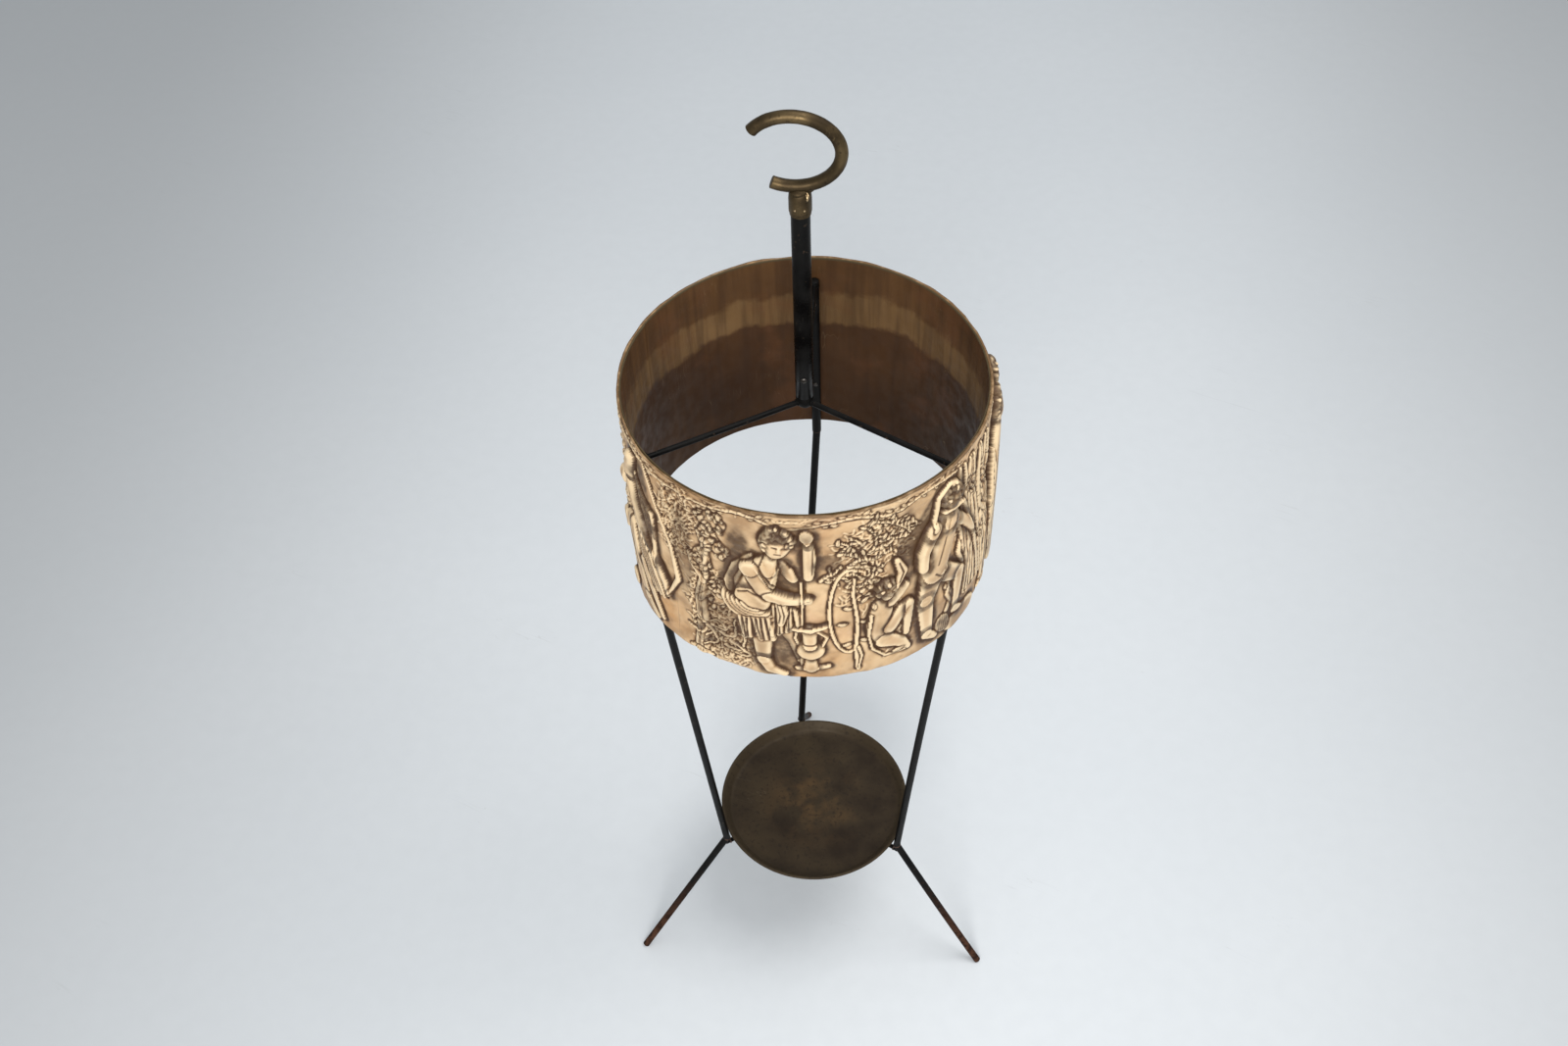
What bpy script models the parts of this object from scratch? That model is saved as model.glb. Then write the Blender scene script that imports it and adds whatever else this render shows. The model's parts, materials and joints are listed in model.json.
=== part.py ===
"""Umbrella and cane stand.

A relief-faced band hangs on three bent rod legs. Spokes join the legs to a centre tube, which ends in
a C-shaped carrying handle. A loose drip tray lies between the knees of the legs.
Metres, +Z up, standing on Z = 0, with the rear leg towards +Y.
"""

import math

import bmesh
import bpy
from mathutils import Matrix, Vector

# Clearances
GAP = 0.0003
TRAY_CLEARANCE = 0.0006

# Band: a thin liner with a moulded relief round it
BAND_RADIUS = 0.125
BAND_HEIGHT = 0.163
BAND_BOTTOM = 0.480
RELIEF_GROUND = 0.0011
RELIEF_SWELL = 0.003
LINER_WALL = 0.0008
BORDER = 0.08

# Figure groups of the relief: azimuth and half width in degrees, then foot and head as shares of the
# band's height, and how far the group stands out
FIGURE_GROUPS = (
    (216, 9, 0.03, 0.92, 0.0060),
    (241, 7, 0.30, 0.90, 0.0040),
    (264, 9, 0.03, 0.92, 0.0060),
    (300, 7, 0.05, 0.50, 0.0045),
    (315, 9, 0.05, 0.96, 0.0070),
    (337, 7, 0.10, 0.90, 0.0050),
    (358, 10, 0.05, 0.95, 0.0095),
    (38, 9, 0.05, 0.92, 0.0055),
    (68, 7, 0.25, 0.92, 0.0045),
    (100, 9, 0.03, 0.92, 0.0060),
    (134, 8, 0.05, 0.60, 0.0050),
    (160, 9, 0.05, 0.95, 0.0060),
    (186, 7, 0.20, 0.92, 0.0045),
)

# Frame
ROD_DIAMETER = 0.006
SPOKE_DIAMETER = 0.004
SPOKE_BELOW_RIM = 0.0214
SOCKET_DIAMETER = 0.007
SOCKET_ABOVE_SPOKE = 0.004
SOCKET_OVERHANG = 0.008
SOCKET_CHAMFER = 0.0007
TENON_DIAMETER = 0.004
TENON_LENGTH = 0.018
KNEE_RADIUS = 0.0867
KNEE_HEIGHT = 0.1214
FOOT_RADIUS = 0.176
FOOT_FILED = 0.0015
FOOT_CHAMFER = 0.0005
WALL_RIVET_DIAMETER = 0.002
WALL_RIVET_HEAD = 0.0036
WALL_RIVET_HEIGHTS = (0.045, 0.125)

# Centre tube and hub
TUBE_DIAMETER = 0.0122
TUBE_WALL = 0.001
HUB_HEIGHT = 0.010
HUB_CHAMFER = 0.0018
HUB_SPIGOT = 0.026
SPOKE_INSERT = 0.003
TUBE_RIVET_DIAMETER = 0.0024
TUBE_RIVET_HEAD = 0.0044
TUBE_RIVET_RISE = 0.018
RIVET_HEAD_HEIGHT = 0.0009

# Handle
FERRULE_BOTTOM = 0.779
FERRULE_WALL = 0.0011
FERRULE_LIP_WALL = 0.0006
FERRULE_LIP_HEIGHT = 0.0022
FERRULE_BORE_DEPTH = 0.0135
FERRULE_SADDLE = 0.0022
FERRULE_PIN_DIAMETER = 0.0014
FERRULE_PIN_RISE = 0.0065
FERRULE_PIN_SPREAD = 25
FERRULE_PIN_PROUD = 0.00015
RING_ROD_DIAMETER = 0.008
RING_HALF_WIDTH = 0.0291
RING_HALF_HEIGHT = 0.0245
RING_OFFSET = 0.004
RING_ABOVE_FERRULE = 0.0447
RING_TILT = 3.6
RING_START = 148
RING_END = -113

# Drip tray and the pegs that it lies on
TRAY_RIM_HEIGHT = 0.1255
TRAY_DEPTH = 0.009
TRAY_WALL = 0.0012
TRAY_FLARE = 0.0035
TRAY_LIP = 0.0022
TRAY_BEAD = 0.0016
PEG_DIAMETER = 0.004
PEG_REACH = 0.017

# Legs: azimuth of each in degrees, and how far its lower part was bent to its left
LEGS = (("rear", 90, 0.0165), ("left", 210, 0.0), ("right", 330, 0.0))

BAND_TOP = BAND_BOTTOM + BAND_HEIGHT
LINER_OUTER = BAND_RADIUS - RELIEF_GROUND - GAP
LINER_INNER = LINER_OUTER - LINER_WALL
SPOKE_HEIGHT = BAND_TOP - SPOKE_BELOW_RIM
SOCKET_RADIUS = SOCKET_DIAMETER / 2
SOCKET_PLACE = LINER_INNER - GAP - SOCKET_RADIUS
SOCKET_TOP = SPOKE_HEIGHT + SOCKET_ABOVE_SPOKE
SOCKET_BOTTOM = BAND_BOTTOM - SOCKET_OVERHANG
ROD_RADIUS = ROD_DIAMETER / 2
TUBE_RADIUS = TUBE_DIAMETER / 2
TUBE_BORE = TUBE_RADIUS - TUBE_WALL
HUB_TOP = SPOKE_HEIGHT + HUB_HEIGHT / 2
HUB_BOTTOM = SPOKE_HEIGHT - HUB_HEIGHT / 2
FERRULE_RADIUS = TUBE_RADIUS + FERRULE_WALL
TUBE_BOTTOM = HUB_TOP + GAP
TUBE_TOP = FERRULE_BOTTOM + FERRULE_BORE_DEPTH - GAP
RING_HEIGHT = FERRULE_BOTTOM + RING_ABOVE_FERRULE
RING_ROD_RADIUS = RING_ROD_DIAMETER / 2
KNEE = Vector((KNEE_RADIUS, 0, KNEE_HEIGHT))
LEG_TOP = Vector((SOCKET_PLACE, 0, SOCKET_BOTTOM))


def clear_scene():
    for obj in list(bpy.data.objects):
        bpy.data.objects.remove(obj, do_unlink=True)


def new_material(name, colour, roughness, metallic):
    material = bpy.data.materials.new(name)
    material.use_nodes = True
    shader = material.node_tree.nodes["Principled BSDF"]
    shader.inputs["Base Color"].default_value = (*colour, 1)
    shader.inputs["Roughness"].default_value = roughness
    shader.inputs["Metallic"].default_value = metallic
    return material


def new_empty(name, parent=None, turn=0.0):
    empty = bpy.data.objects.new(name, None)
    bpy.context.collection.objects.link(empty)
    empty.parent = parent
    empty.rotation_euler.z = math.radians(turn)
    return empty


def add_object(name, shape, material, parent, place=(0, 0, 0), turn=(0, 0, 0)):
    """Turn a bmesh into a smooth-shaded object under its parent."""
    mesh = bpy.data.meshes.new(name)
    shape.to_mesh(mesh)
    shape.free()
    mesh.shade_smooth()
    mesh.set_sharp_from_angle(angle=math.radians(35))
    obj = bpy.data.objects.new(name, mesh)
    bpy.context.collection.objects.link(obj)
    obj.parent = parent
    obj.location = place
    obj.rotation_euler = turn
    if material:
        mesh.materials.append(material)
    return obj


def combine(target, operation, shape, parent, place=(0, 0, 0), turn=(0, 0, 0)):
    """Boolean a helper shape with the target. The helper stays out of renders."""
    helper = add_object(target.name + "_" + operation.lower(), shape, None, parent, place, turn)
    helper.hide_render = True
    helper.display_type = "WIRE"
    modifier = target.modifiers.new(operation.title(), "BOOLEAN")
    modifier.operation = operation
    modifier.object = helper


def turned(outline, segments, closed=False):
    """Spin an outline of (radius, height) points round Z. An open outline starts and ends on the axis."""
    shape = bmesh.new()
    points = [shape.verts.new((radius, 0, height)) for radius, height in outline]
    pairs = list(zip(points, points[1:]))
    if closed:
        pairs.append((points[-1], points[0]))
    edges = [shape.edges.new(pair) for pair in pairs]
    bmesh.ops.spin(
        shape,
        geom=points + edges,
        cent=(0, 0, 0),
        axis=(0, 0, 1),
        angle=math.tau,
        steps=segments,
        use_merge=True,
    )
    bmesh.ops.remove_doubles(shape, verts=shape.verts[:], dist=1e-6)
    bmesh.ops.recalc_face_normals(shape, faces=shape.faces[:])
    return shape


def rod(start, end, radius, segments=16):
    """Round bar between two points."""
    start, end = Vector(start), Vector(end)
    along = end - start
    turn = Vector((0, 0, 1)).rotation_difference(along).to_matrix().to_4x4()
    shape = bmesh.new()
    bmesh.ops.create_cone(
        shape,
        cap_ends=True,
        segments=segments,
        radius1=radius,
        radius2=radius,
        depth=along.length,
        matrix=Matrix.Translation((start + end) / 2) @ turn,
    )
    return shape


def cut_off(shape, point, normal):
    """Remove what lies on the normal's side of a plane, and close the cut."""
    result = bmesh.ops.bisect_plane(
        shape,
        geom=shape.verts[:] + shape.edges[:] + shape.faces[:],
        dist=1e-7,
        plane_co=point,
        plane_no=normal,
        clear_outer=True,
    )
    edges = [item for item in result["geom_cut"] if isinstance(item, bmesh.types.BMEdge)]
    bmesh.ops.edgeloop_fill(shape, edges=edges)
    bmesh.ops.recalc_face_normals(shape, faces=shape.faces[:])


def bevel_end(shape, point, direction, size):
    """Chamfer the edge round the end face that lies at the point and faces the direction."""
    shape.normal_update()
    ends = [face for face in shape.faces if face.normal.dot(direction) > 0.999]
    face = min(ends, key=lambda item: (item.calc_center_median() - point).length)
    bmesh.ops.bevel(shape, geom=face.edges[:], offset=size, segments=1, profile=0.5, affect="EDGES")


def ring_point(degrees):
    """Point on the centre line of the handle, an oval in the XZ plane with a small tilt."""
    across = RING_HALF_WIDTH * math.cos(math.radians(degrees))
    up = RING_HALF_HEIGHT * math.sin(math.radians(degrees))
    tilt = math.radians(-RING_TILT)
    return Vector(
        (
            across * math.cos(tilt) - up * math.sin(tilt) - RING_OFFSET,
            0,
            across * math.sin(tilt) + up * math.cos(tilt) + RING_HEIGHT,
        )
    )


def ring_sweep(radius, sides, stations=34):
    """Sweep a circle along the handle's centre line and close the ends. Each joint is mitred."""
    shape = bmesh.new()
    step = (RING_END - RING_START) / (stations - 1)
    centres = [ring_point(RING_START + step * index) for index in range(-1, stations + 1)]
    loops = []
    for before, centre, after in zip(centres, centres[1:], centres[2:]):
        chord = (after - centre).normalized()
        along = (chord + (centre - before).normalized()).normalized()
        outward = along.cross(Vector((0, 1, 0))) / along.dot(chord)
        frame = Matrix((outward, Vector((0, 1, 0)), along)).transposed().to_4x4()
        place = Matrix.Translation(centre) @ frame
        circle = bmesh.ops.create_circle(shape, segments=sides, radius=radius, matrix=place)["verts"]
        loops.append([edge for edge in shape.edges if edge.verts[0] in circle and edge.verts[1] in circle])
    for first, second in zip(loops, loops[1:]):
        bmesh.ops.bridge_loops(shape, edges=first + second)
    for edges in (loops[0], loops[-1]):
        bmesh.ops.edgeloop_fill(shape, edges=edges)
    bmesh.ops.recalc_face_normals(shape, faces=shape.faces[:])
    return shape


def handle_ring(materials, root):
    add_object("handle_ring", ring_sweep(RING_ROD_RADIUS, 16), materials["brass"], root)


def ferrule_pin_frames(root):
    """Two directions, a little left and right of the front."""
    return [
        ("left", new_empty("ferrule_pin_left_frame", root, 270 - FERRULE_PIN_SPREAD)),
        ("right", new_empty("ferrule_pin_right_frame", root, 270 + FERRULE_PIN_SPREAD)),
    ]


def ferrule_pin_hole():
    height = FERRULE_BOTTOM + FERRULE_PIN_RISE
    start = (TUBE_BORE - TUBE_WALL, 0, height)
    return rod(start, (2 * FERRULE_RADIUS, 0, height), FERRULE_PIN_DIAMETER / 2 + GAP, 12)


def handle_ferrule(materials, root, pin_frames):
    """Collar over the tube's top end, with a saddle for the ring."""
    outer = FERRULE_RADIUS
    lip = TUBE_RADIUS + FERRULE_LIP_WALL
    bore = TUBE_RADIUS + GAP
    top = RING_HEIGHT - RING_HALF_HEIGHT - RING_ROD_RADIUS + FERRULE_SADDLE
    outline = (
        (0, top),
        (outer, top),
        (outer, FERRULE_BOTTOM + FERRULE_LIP_HEIGHT),
        (lip, FERRULE_BOTTOM + FERRULE_LIP_HEIGHT - (outer - lip)),
        (lip, FERRULE_BOTTOM),
        (bore, FERRULE_BOTTOM),
        (bore, FERRULE_BOTTOM + FERRULE_BORE_DEPTH),
        (0, FERRULE_BOTTOM + FERRULE_BORE_DEPTH),
    )
    ferrule = add_object("handle_ferrule", turned(outline, 28), materials["brass"], root)
    combine(ferrule, "DIFFERENCE", ring_sweep(RING_ROD_RADIUS + GAP, 20), root)
    for _, frame in pin_frames:
        combine(ferrule, "DIFFERENCE", ferrule_pin_hole(), frame)


def ferrule_pins(materials, pin_frames):
    height = FERRULE_BOTTOM + FERRULE_PIN_RISE
    for side, frame in pin_frames:
        start = (TUBE_BORE, 0, height)
        end = (FERRULE_RADIUS + FERRULE_PIN_PROUD, 0, height)
        shape = rod(start, end, FERRULE_PIN_DIAMETER / 2, 10)
        add_object("ferrule_pin_" + side, shape, materials["brass"], frame)


def centre_tube(materials, root, pin_frames):
    outline = (
        (TUBE_RADIUS, TUBE_TOP),
        (TUBE_RADIUS, TUBE_BOTTOM),
        (TUBE_BORE, TUBE_BOTTOM),
        (TUBE_BORE, TUBE_TOP),
    )
    tube = add_object("centre_tube", turned(outline, 28, closed=True), materials["black"], root)
    combine(tube, "DIFFERENCE", tube_rivet_hole(), root)
    for _, frame in pin_frames:
        combine(tube, "DIFFERENCE", ferrule_pin_hole(), frame)


def tube_rivet_hole():
    height = HUB_TOP + TUBE_RIVET_RISE
    radius = TUBE_RIVET_DIAMETER / 2 + GAP
    return rod((0, -TUBE_DIAMETER, height), (0, TUBE_DIAMETER, height), radius, 12)


def rivet_shape(shank, head, seat_low, seat_high):
    """Rivet along Z with a domed head past each seat."""
    outline = (
        (0, seat_high + RIVET_HEAD_HEIGHT),
        (head * 0.3, seat_high + RIVET_HEAD_HEIGHT * 0.9),
        (head * 0.5, seat_high),
        (shank / 2, seat_high),
        (shank / 2, seat_low),
        (head * 0.5, seat_low),
        (head * 0.3, seat_low - RIVET_HEAD_HEIGHT * 0.9),
        (0, seat_low - RIVET_HEAD_HEIGHT),
    )
    return turned(outline, 14)


def tube_rivet(materials, root):
    """Rivet through the tube and the hub's spigot, from front to back."""
    seat = TUBE_RADIUS + GAP
    shape = rivet_shape(TUBE_RIVET_DIAMETER, TUBE_RIVET_HEAD, -seat, seat)
    place = (0, 0, HUB_TOP + TUBE_RIVET_RISE)
    add_object("tube_rivet", shape, materials["steel"], root, place, (math.pi / 2, 0, 0))


def hub(materials, root, leg_frames):
    """Boss under the tube, with a spigot up into it and a hole for each spoke."""
    spigot = TUBE_BORE - GAP
    outline = (
        (0, HUB_TOP + HUB_SPIGOT),
        (spigot, HUB_TOP + HUB_SPIGOT),
        (spigot, HUB_TOP),
        (TUBE_RADIUS, HUB_TOP),
        (TUBE_RADIUS, HUB_BOTTOM + HUB_CHAMFER),
        (TUBE_RADIUS - HUB_CHAMFER, HUB_BOTTOM),
        (0, HUB_BOTTOM),
    )
    boss = add_object("hub", turned(outline, 28), materials["black"], root)
    combine(boss, "DIFFERENCE", tube_rivet_hole(), root)
    start = TUBE_RADIUS - SPOKE_INSERT
    radius = SPOKE_DIAMETER / 2 + GAP
    for _, frame in leg_frames:
        hole = rod((start, 0, SPOKE_HEIGHT), (TUBE_DIAMETER, 0, SPOKE_HEIGHT), radius, 16)
        combine(boss, "DIFFERENCE", hole, frame)


def spoke(side, materials, frame):
    """Rod from the hub to the leg's socket, coped to fit round it."""
    start = (TUBE_RADIUS - SPOKE_INSERT + GAP, 0, SPOKE_HEIGHT)
    end = (SOCKET_PLACE, 0, SPOKE_HEIGHT)
    obj = add_object("spoke_" + side, rod(start, end, SPOKE_DIAMETER / 2), materials["black"], frame)
    low = (SOCKET_PLACE, 0, SPOKE_HEIGHT - SPOKE_DIAMETER)
    high = (SOCKET_PLACE, 0, SPOKE_HEIGHT + SPOKE_DIAMETER)
    combine(obj, "DIFFERENCE", rod(low, high, SOCKET_RADIUS + GAP, 24), frame)


def wall_rivet_hole(height):
    radius = WALL_RIVET_DIAMETER / 2 + GAP
    inside = SOCKET_PLACE - SOCKET_DIAMETER
    return rod((inside, 0, height), (LINER_OUTER + LINER_WALL, 0, height), radius, 12)


def wall_rivet_levels():
    return [("lower", BAND_BOTTOM + WALL_RIVET_HEIGHTS[0]), ("upper", BAND_BOTTOM + WALL_RIVET_HEIGHTS[1])]


def leg_socket(side, materials, frame):
    """Upright bar against the liner. Its lower end is bored for the leg's tenon."""
    bore = TENON_DIAMETER / 2 + GAP
    depth = SOCKET_BOTTOM + TENON_LENGTH + GAP
    outline = (
        (0, SOCKET_TOP),
        (SOCKET_RADIUS - SOCKET_CHAMFER, SOCKET_TOP),
        (SOCKET_RADIUS, SOCKET_TOP - SOCKET_CHAMFER),
        (SOCKET_RADIUS, SOCKET_BOTTOM + 2 * SOCKET_CHAMFER),
        (SOCKET_RADIUS - SOCKET_CHAMFER, SOCKET_BOTTOM),
        (bore, SOCKET_BOTTOM),
        (bore, depth),
        (0, depth),
    )
    place = (SOCKET_PLACE, 0, 0)
    obj = add_object("leg_socket_" + side, turned(outline, 16), materials["black"], frame, place)
    for _, height in wall_rivet_levels():
        combine(obj, "DIFFERENCE", wall_rivet_hole(height), frame)


def wall_rivets(side, materials, frame):
    """Rivets through the socket and the liner. Their tails lie under the relief."""
    head_seat = SOCKET_PLACE - SOCKET_RADIUS - GAP
    for level, height in wall_rivet_levels():
        outline = (
            (0, LINER_OUTER),
            (WALL_RIVET_DIAMETER / 2, LINER_OUTER),
            (WALL_RIVET_DIAMETER / 2, head_seat),
            (WALL_RIVET_HEAD / 2, head_seat),
            (WALL_RIVET_HEAD * 0.3, head_seat - RIVET_HEAD_HEIGHT * 0.9),
            (0, head_seat - RIVET_HEAD_HEIGHT),
        )
        name = "wall_rivet_" + side + "_" + level
        add_object(name, turned(outline, 12), materials["steel"], frame, (0, 0, height), (0, math.pi / 2, 0))


def knee_at(bend):
    """The knee, in its leg's frame."""
    return KNEE + Vector((0, bend, 0))


def foot_end(bend):
    """End of the foot rod's axis. The square-cut end dips below the floor by what is filed off."""
    height = 0.0
    for _ in range(8):
        slope = math.atan2(FOOT_RADIUS - KNEE_RADIUS, KNEE_HEIGHT - height)
        height = ROD_RADIUS * math.sin(slope) - FOOT_FILED
    return Vector((FOOT_RADIUS, bend, height))


def knee_plane_normal(bend):
    """Normal of the mitre plane at the knee, pointing up the leg."""
    knee = knee_at(bend)
    return ((LEG_TOP - knee).normalized() - (foot_end(bend) - knee).normalized()).normalized()


def leg_rod(side, materials, frame, bend):
    """Upper leg: a tenon up into the socket, then the rod in to the knee."""
    knee = knee_at(bend)
    along = (LEG_TOP - knee).normalized()
    shape = rod(knee - along * ROD_DIAMETER, LEG_TOP + along * ROD_DIAMETER, ROD_RADIUS)
    normal = knee_plane_normal(bend)
    cut_off(shape, knee + normal * GAP / 2, -normal)
    shoulder = LEG_TOP - Vector((0, 0, GAP))
    cut_off(shape, shoulder, Vector((0, 0, 1)))
    obj = add_object("leg_rod_" + side, shape, materials["black"], frame)
    low = shoulder - Vector((0, 0, TENON_DIAMETER / 2))
    tenon = rod(low, LEG_TOP + Vector((0, 0, TENON_LENGTH)), TENON_DIAMETER / 2, 14)
    combine(obj, "UNION", tenon, frame)


def foot_rod(side, materials, frame, bend):
    """Lower leg: from the knee's mitre out to a chamfered end with a flat filed on it."""
    knee, end = knee_at(bend), foot_end(bend)
    along = (end - knee).normalized()
    shape = rod(knee - along * ROD_DIAMETER, end, ROD_RADIUS)
    bevel_end(shape, end, along, FOOT_CHAMFER)
    normal = knee_plane_normal(bend)
    cut_off(shape, knee - normal * GAP / 2, normal)
    cut_off(shape, Vector((0, 0, 0)), Vector((0, 0, -1)))
    add_object("foot_rod_" + side, shape, materials["black"], frame)


def tray_peg(side, materials, frame, bend):
    """Round peg from the foot rod inwards, under the tray."""
    top = TRAY_RIM_HEIGHT - TRAY_DEPTH - GAP
    height = top - PEG_DIAMETER / 2
    knee = knee_at(bend)
    along = (foot_end(bend) - knee).normalized()
    outward = Vector((-along.z, 0, along.x))
    start = (KNEE_RADIUS - PEG_REACH, bend, height)
    shape = rod(start, (FOOT_RADIUS, bend, height), PEG_DIAMETER / 2, 12)
    cut_off(shape, knee - outward * (ROD_RADIUS + GAP), outward)
    add_object("tray_peg_" + side, shape, materials["black"], frame)


def drip_tray(materials, root):
    """Shallow dish with a flared wall and a rolled bead at its lip."""
    outer = KNEE_RADIUS - ROD_RADIUS - TRAY_CLEARANCE
    bottom = TRAY_RIM_HEIGHT - TRAY_DEPTH
    foot = outer - TRAY_BEAD - TRAY_FLARE
    wall_top = outer - TRAY_BEAD
    outline = (
        (0, bottom),
        (foot - TRAY_LIP, bottom),
        (foot, bottom + TRAY_LIP * 0.5),
        (foot + TRAY_LIP * 0.4, bottom + TRAY_LIP),
        (wall_top, TRAY_RIM_HEIGHT - 1.4 * TRAY_BEAD),
        (outer, TRAY_RIM_HEIGHT - 0.9 * TRAY_BEAD),
        (outer, TRAY_RIM_HEIGHT - 0.3 * TRAY_BEAD),
        (outer - 0.4 * TRAY_BEAD, TRAY_RIM_HEIGHT),
        (outer - 1.2 * TRAY_BEAD, TRAY_RIM_HEIGHT - 0.2 * TRAY_BEAD),
        (foot + TRAY_LIP * 0.4 - TRAY_WALL, bottom + TRAY_LIP + TRAY_WALL * 0.5),
        (foot - TRAY_LIP, bottom + TRAY_WALL),
        (0, bottom + TRAY_WALL),
    )
    add_object("drip_tray", turned(outline, 64), materials["tray_brass"], root)


def band_liner(materials, root, leg_frames):
    outline = (
        (LINER_OUTER, BAND_TOP),
        (LINER_OUTER, BAND_BOTTOM),
        (LINER_INNER, BAND_BOTTOM),
        (LINER_INNER, BAND_TOP),
    )
    liner = add_object("band_liner", turned(outline, 96, closed=True), materials["varnish"], root)
    for _, frame in leg_frames:
        for _, height in wall_rivet_levels():
            combine(liner, "DIFFERENCE", wall_rivet_hole(height), frame)


def soft_step(value):
    value = min(max(value, 0.0), 1.0)
    return value * value * (3 - 2 * value)


def relief_rise(azimuth, share):
    """How far the relief stands out at an azimuth in degrees and a share of the band's height.

    Its ground swells a little towards the lower edge.
    """
    rise = 0.0
    for centre, half_width, foot, head, height in FIGURE_GROUPS:
        away = abs((azimuth - centre + 180) % 360 - 180)
        across = soft_step(1.6 * (1 - away / half_width))
        up = soft_step((share - foot + BORDER) / BORDER) * soft_step((head + BORDER - share) / BORDER)
        rise = max(rise, height * across * up)
    rise *= soft_step(share / BORDER) * soft_step((1 - share) / BORDER)
    return max(rise, RELIEF_SWELL * soft_step(1.3 - 1.8 * share))


def relief_band(materials, root):
    """Moulded skin round the liner: a plain ground with figure groups standing out of it."""
    inner = BAND_RADIUS - RELIEF_GROUND
    rows = 12
    heights = [BAND_TOP - BAND_HEIGHT * row / rows for row in range(rows + 1)]
    outline = [(BAND_RADIUS, height) for height in heights] + [(inner, BAND_BOTTOM), (inner, BAND_TOP)]
    shape = turned(outline, 120, closed=True)
    for vert in shape.verts:
        radius = vert.co.xy.length
        if radius < BAND_RADIUS - RELIEF_GROUND / 2:
            continue
        azimuth = math.degrees(math.atan2(vert.co.y, vert.co.x))
        share = (vert.co.z - BAND_BOTTOM) / BAND_HEIGHT
        vert.co.xy *= 1 + relief_rise(azimuth, share) / radius
    add_object("relief_band", shape, materials["ivory"], root)


def centre_on_floor(root):
    """Move the stand so that the middle of its plan box lies on the origin."""
    bpy.context.view_layer.update()
    graph = bpy.context.evaluated_depsgraph_get()
    spans = []
    for obj in bpy.data.objects:
        if obj.type == "MESH" and not obj.hide_render:
            solid = obj.evaluated_get(graph)
            spans.extend(solid.matrix_world @ vert.co for vert in solid.data.vertices)
    for axis in (0, 1):
        values = [point[axis] for point in spans]
        root.location[axis] = -(min(values) + max(values)) / 2


def main():
    clear_scene()
    materials = {
        "black": new_material("black_painted_steel", (0.012, 0.012, 0.013), 0.45, 0.2),
        "steel": new_material("rivet_steel", (0.10, 0.095, 0.09), 0.5, 0.8),
        "brass": new_material("aged_brass", (0.16, 0.10, 0.04), 0.4, 0.9),
        "tray_brass": new_material("tray_brass", (0.05, 0.038, 0.02), 0.5, 0.8),
        "varnish": new_material("brown_varnish", (0.09, 0.045, 0.02), 0.45, 0.0),
        "ivory": new_material("ivory_relief", (0.60, 0.50, 0.36), 0.6, 0.0),
    }
    root = new_empty("stand")
    leg_frames = [(side, new_empty("leg_" + side + "_frame", root, azimuth)) for side, azimuth, _ in LEGS]
    pin_frames = ferrule_pin_frames(root)
    handle_ring(materials, root)
    handle_ferrule(materials, root, pin_frames)
    ferrule_pins(materials, pin_frames)
    centre_tube(materials, root, pin_frames)
    tube_rivet(materials, root)
    hub(materials, root, leg_frames)
    for (side, frame), (_, _, bend) in zip(leg_frames, LEGS):
        spoke(side, materials, frame)
        leg_socket(side, materials, frame)
        wall_rivets(side, materials, frame)
        leg_rod(side, materials, frame, bend)
        foot_rod(side, materials, frame, bend)
        tray_peg(side, materials, frame, bend)
    drip_tray(materials, root)
    band_liner(materials, root, leg_frames)
    relief_band(materials, root)
    centre_on_floor(root)


main()
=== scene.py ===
"""Looks of the umbrella and cane stand.

The moulded relief, its varnished liner, the drip tray, the rods and the carrying handle are built here
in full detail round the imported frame. Metres, +Z up. The relief is drawn in millimetres.
"""

import json
import math

import bmesh
import bpy
import numpy as np
from mathutils import Matrix, Vector

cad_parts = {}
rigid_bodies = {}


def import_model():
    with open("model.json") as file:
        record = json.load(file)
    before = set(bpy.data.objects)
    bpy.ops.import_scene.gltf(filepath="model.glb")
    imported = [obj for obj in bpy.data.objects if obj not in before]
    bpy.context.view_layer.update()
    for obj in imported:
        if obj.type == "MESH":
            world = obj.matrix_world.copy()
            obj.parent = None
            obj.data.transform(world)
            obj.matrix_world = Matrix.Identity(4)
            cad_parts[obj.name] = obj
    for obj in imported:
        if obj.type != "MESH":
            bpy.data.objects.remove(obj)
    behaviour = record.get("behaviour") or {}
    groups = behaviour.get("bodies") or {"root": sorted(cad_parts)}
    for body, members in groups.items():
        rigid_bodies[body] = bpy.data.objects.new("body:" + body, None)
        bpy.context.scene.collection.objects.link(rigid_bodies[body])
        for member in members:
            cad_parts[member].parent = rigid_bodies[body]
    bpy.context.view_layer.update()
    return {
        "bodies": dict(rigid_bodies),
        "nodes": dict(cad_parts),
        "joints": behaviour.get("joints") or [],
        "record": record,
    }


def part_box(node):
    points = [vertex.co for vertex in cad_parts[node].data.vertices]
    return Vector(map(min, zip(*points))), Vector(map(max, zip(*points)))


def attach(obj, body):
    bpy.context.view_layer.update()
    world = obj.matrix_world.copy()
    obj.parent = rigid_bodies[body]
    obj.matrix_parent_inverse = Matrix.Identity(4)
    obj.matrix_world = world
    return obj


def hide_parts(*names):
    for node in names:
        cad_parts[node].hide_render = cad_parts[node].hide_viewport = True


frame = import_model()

# Places taken from the frame
BAND_LOW, BAND_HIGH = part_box("relief_band")
LINER_LOW, LINER_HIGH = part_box("band_liner")
TUBE_LOW, TUBE_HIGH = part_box("centre_tube")
AXIS_Y = (TUBE_LOW.y + TUBE_HIGH.y) / 2
TUBE_RADIUS = (TUBE_HIGH.x - TUBE_LOW.x) / 2
LINER_OUTER = (LINER_HIGH.x - LINER_LOW.x) / 2
LINER_INNER = LINER_OUTER - 0.0008
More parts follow.
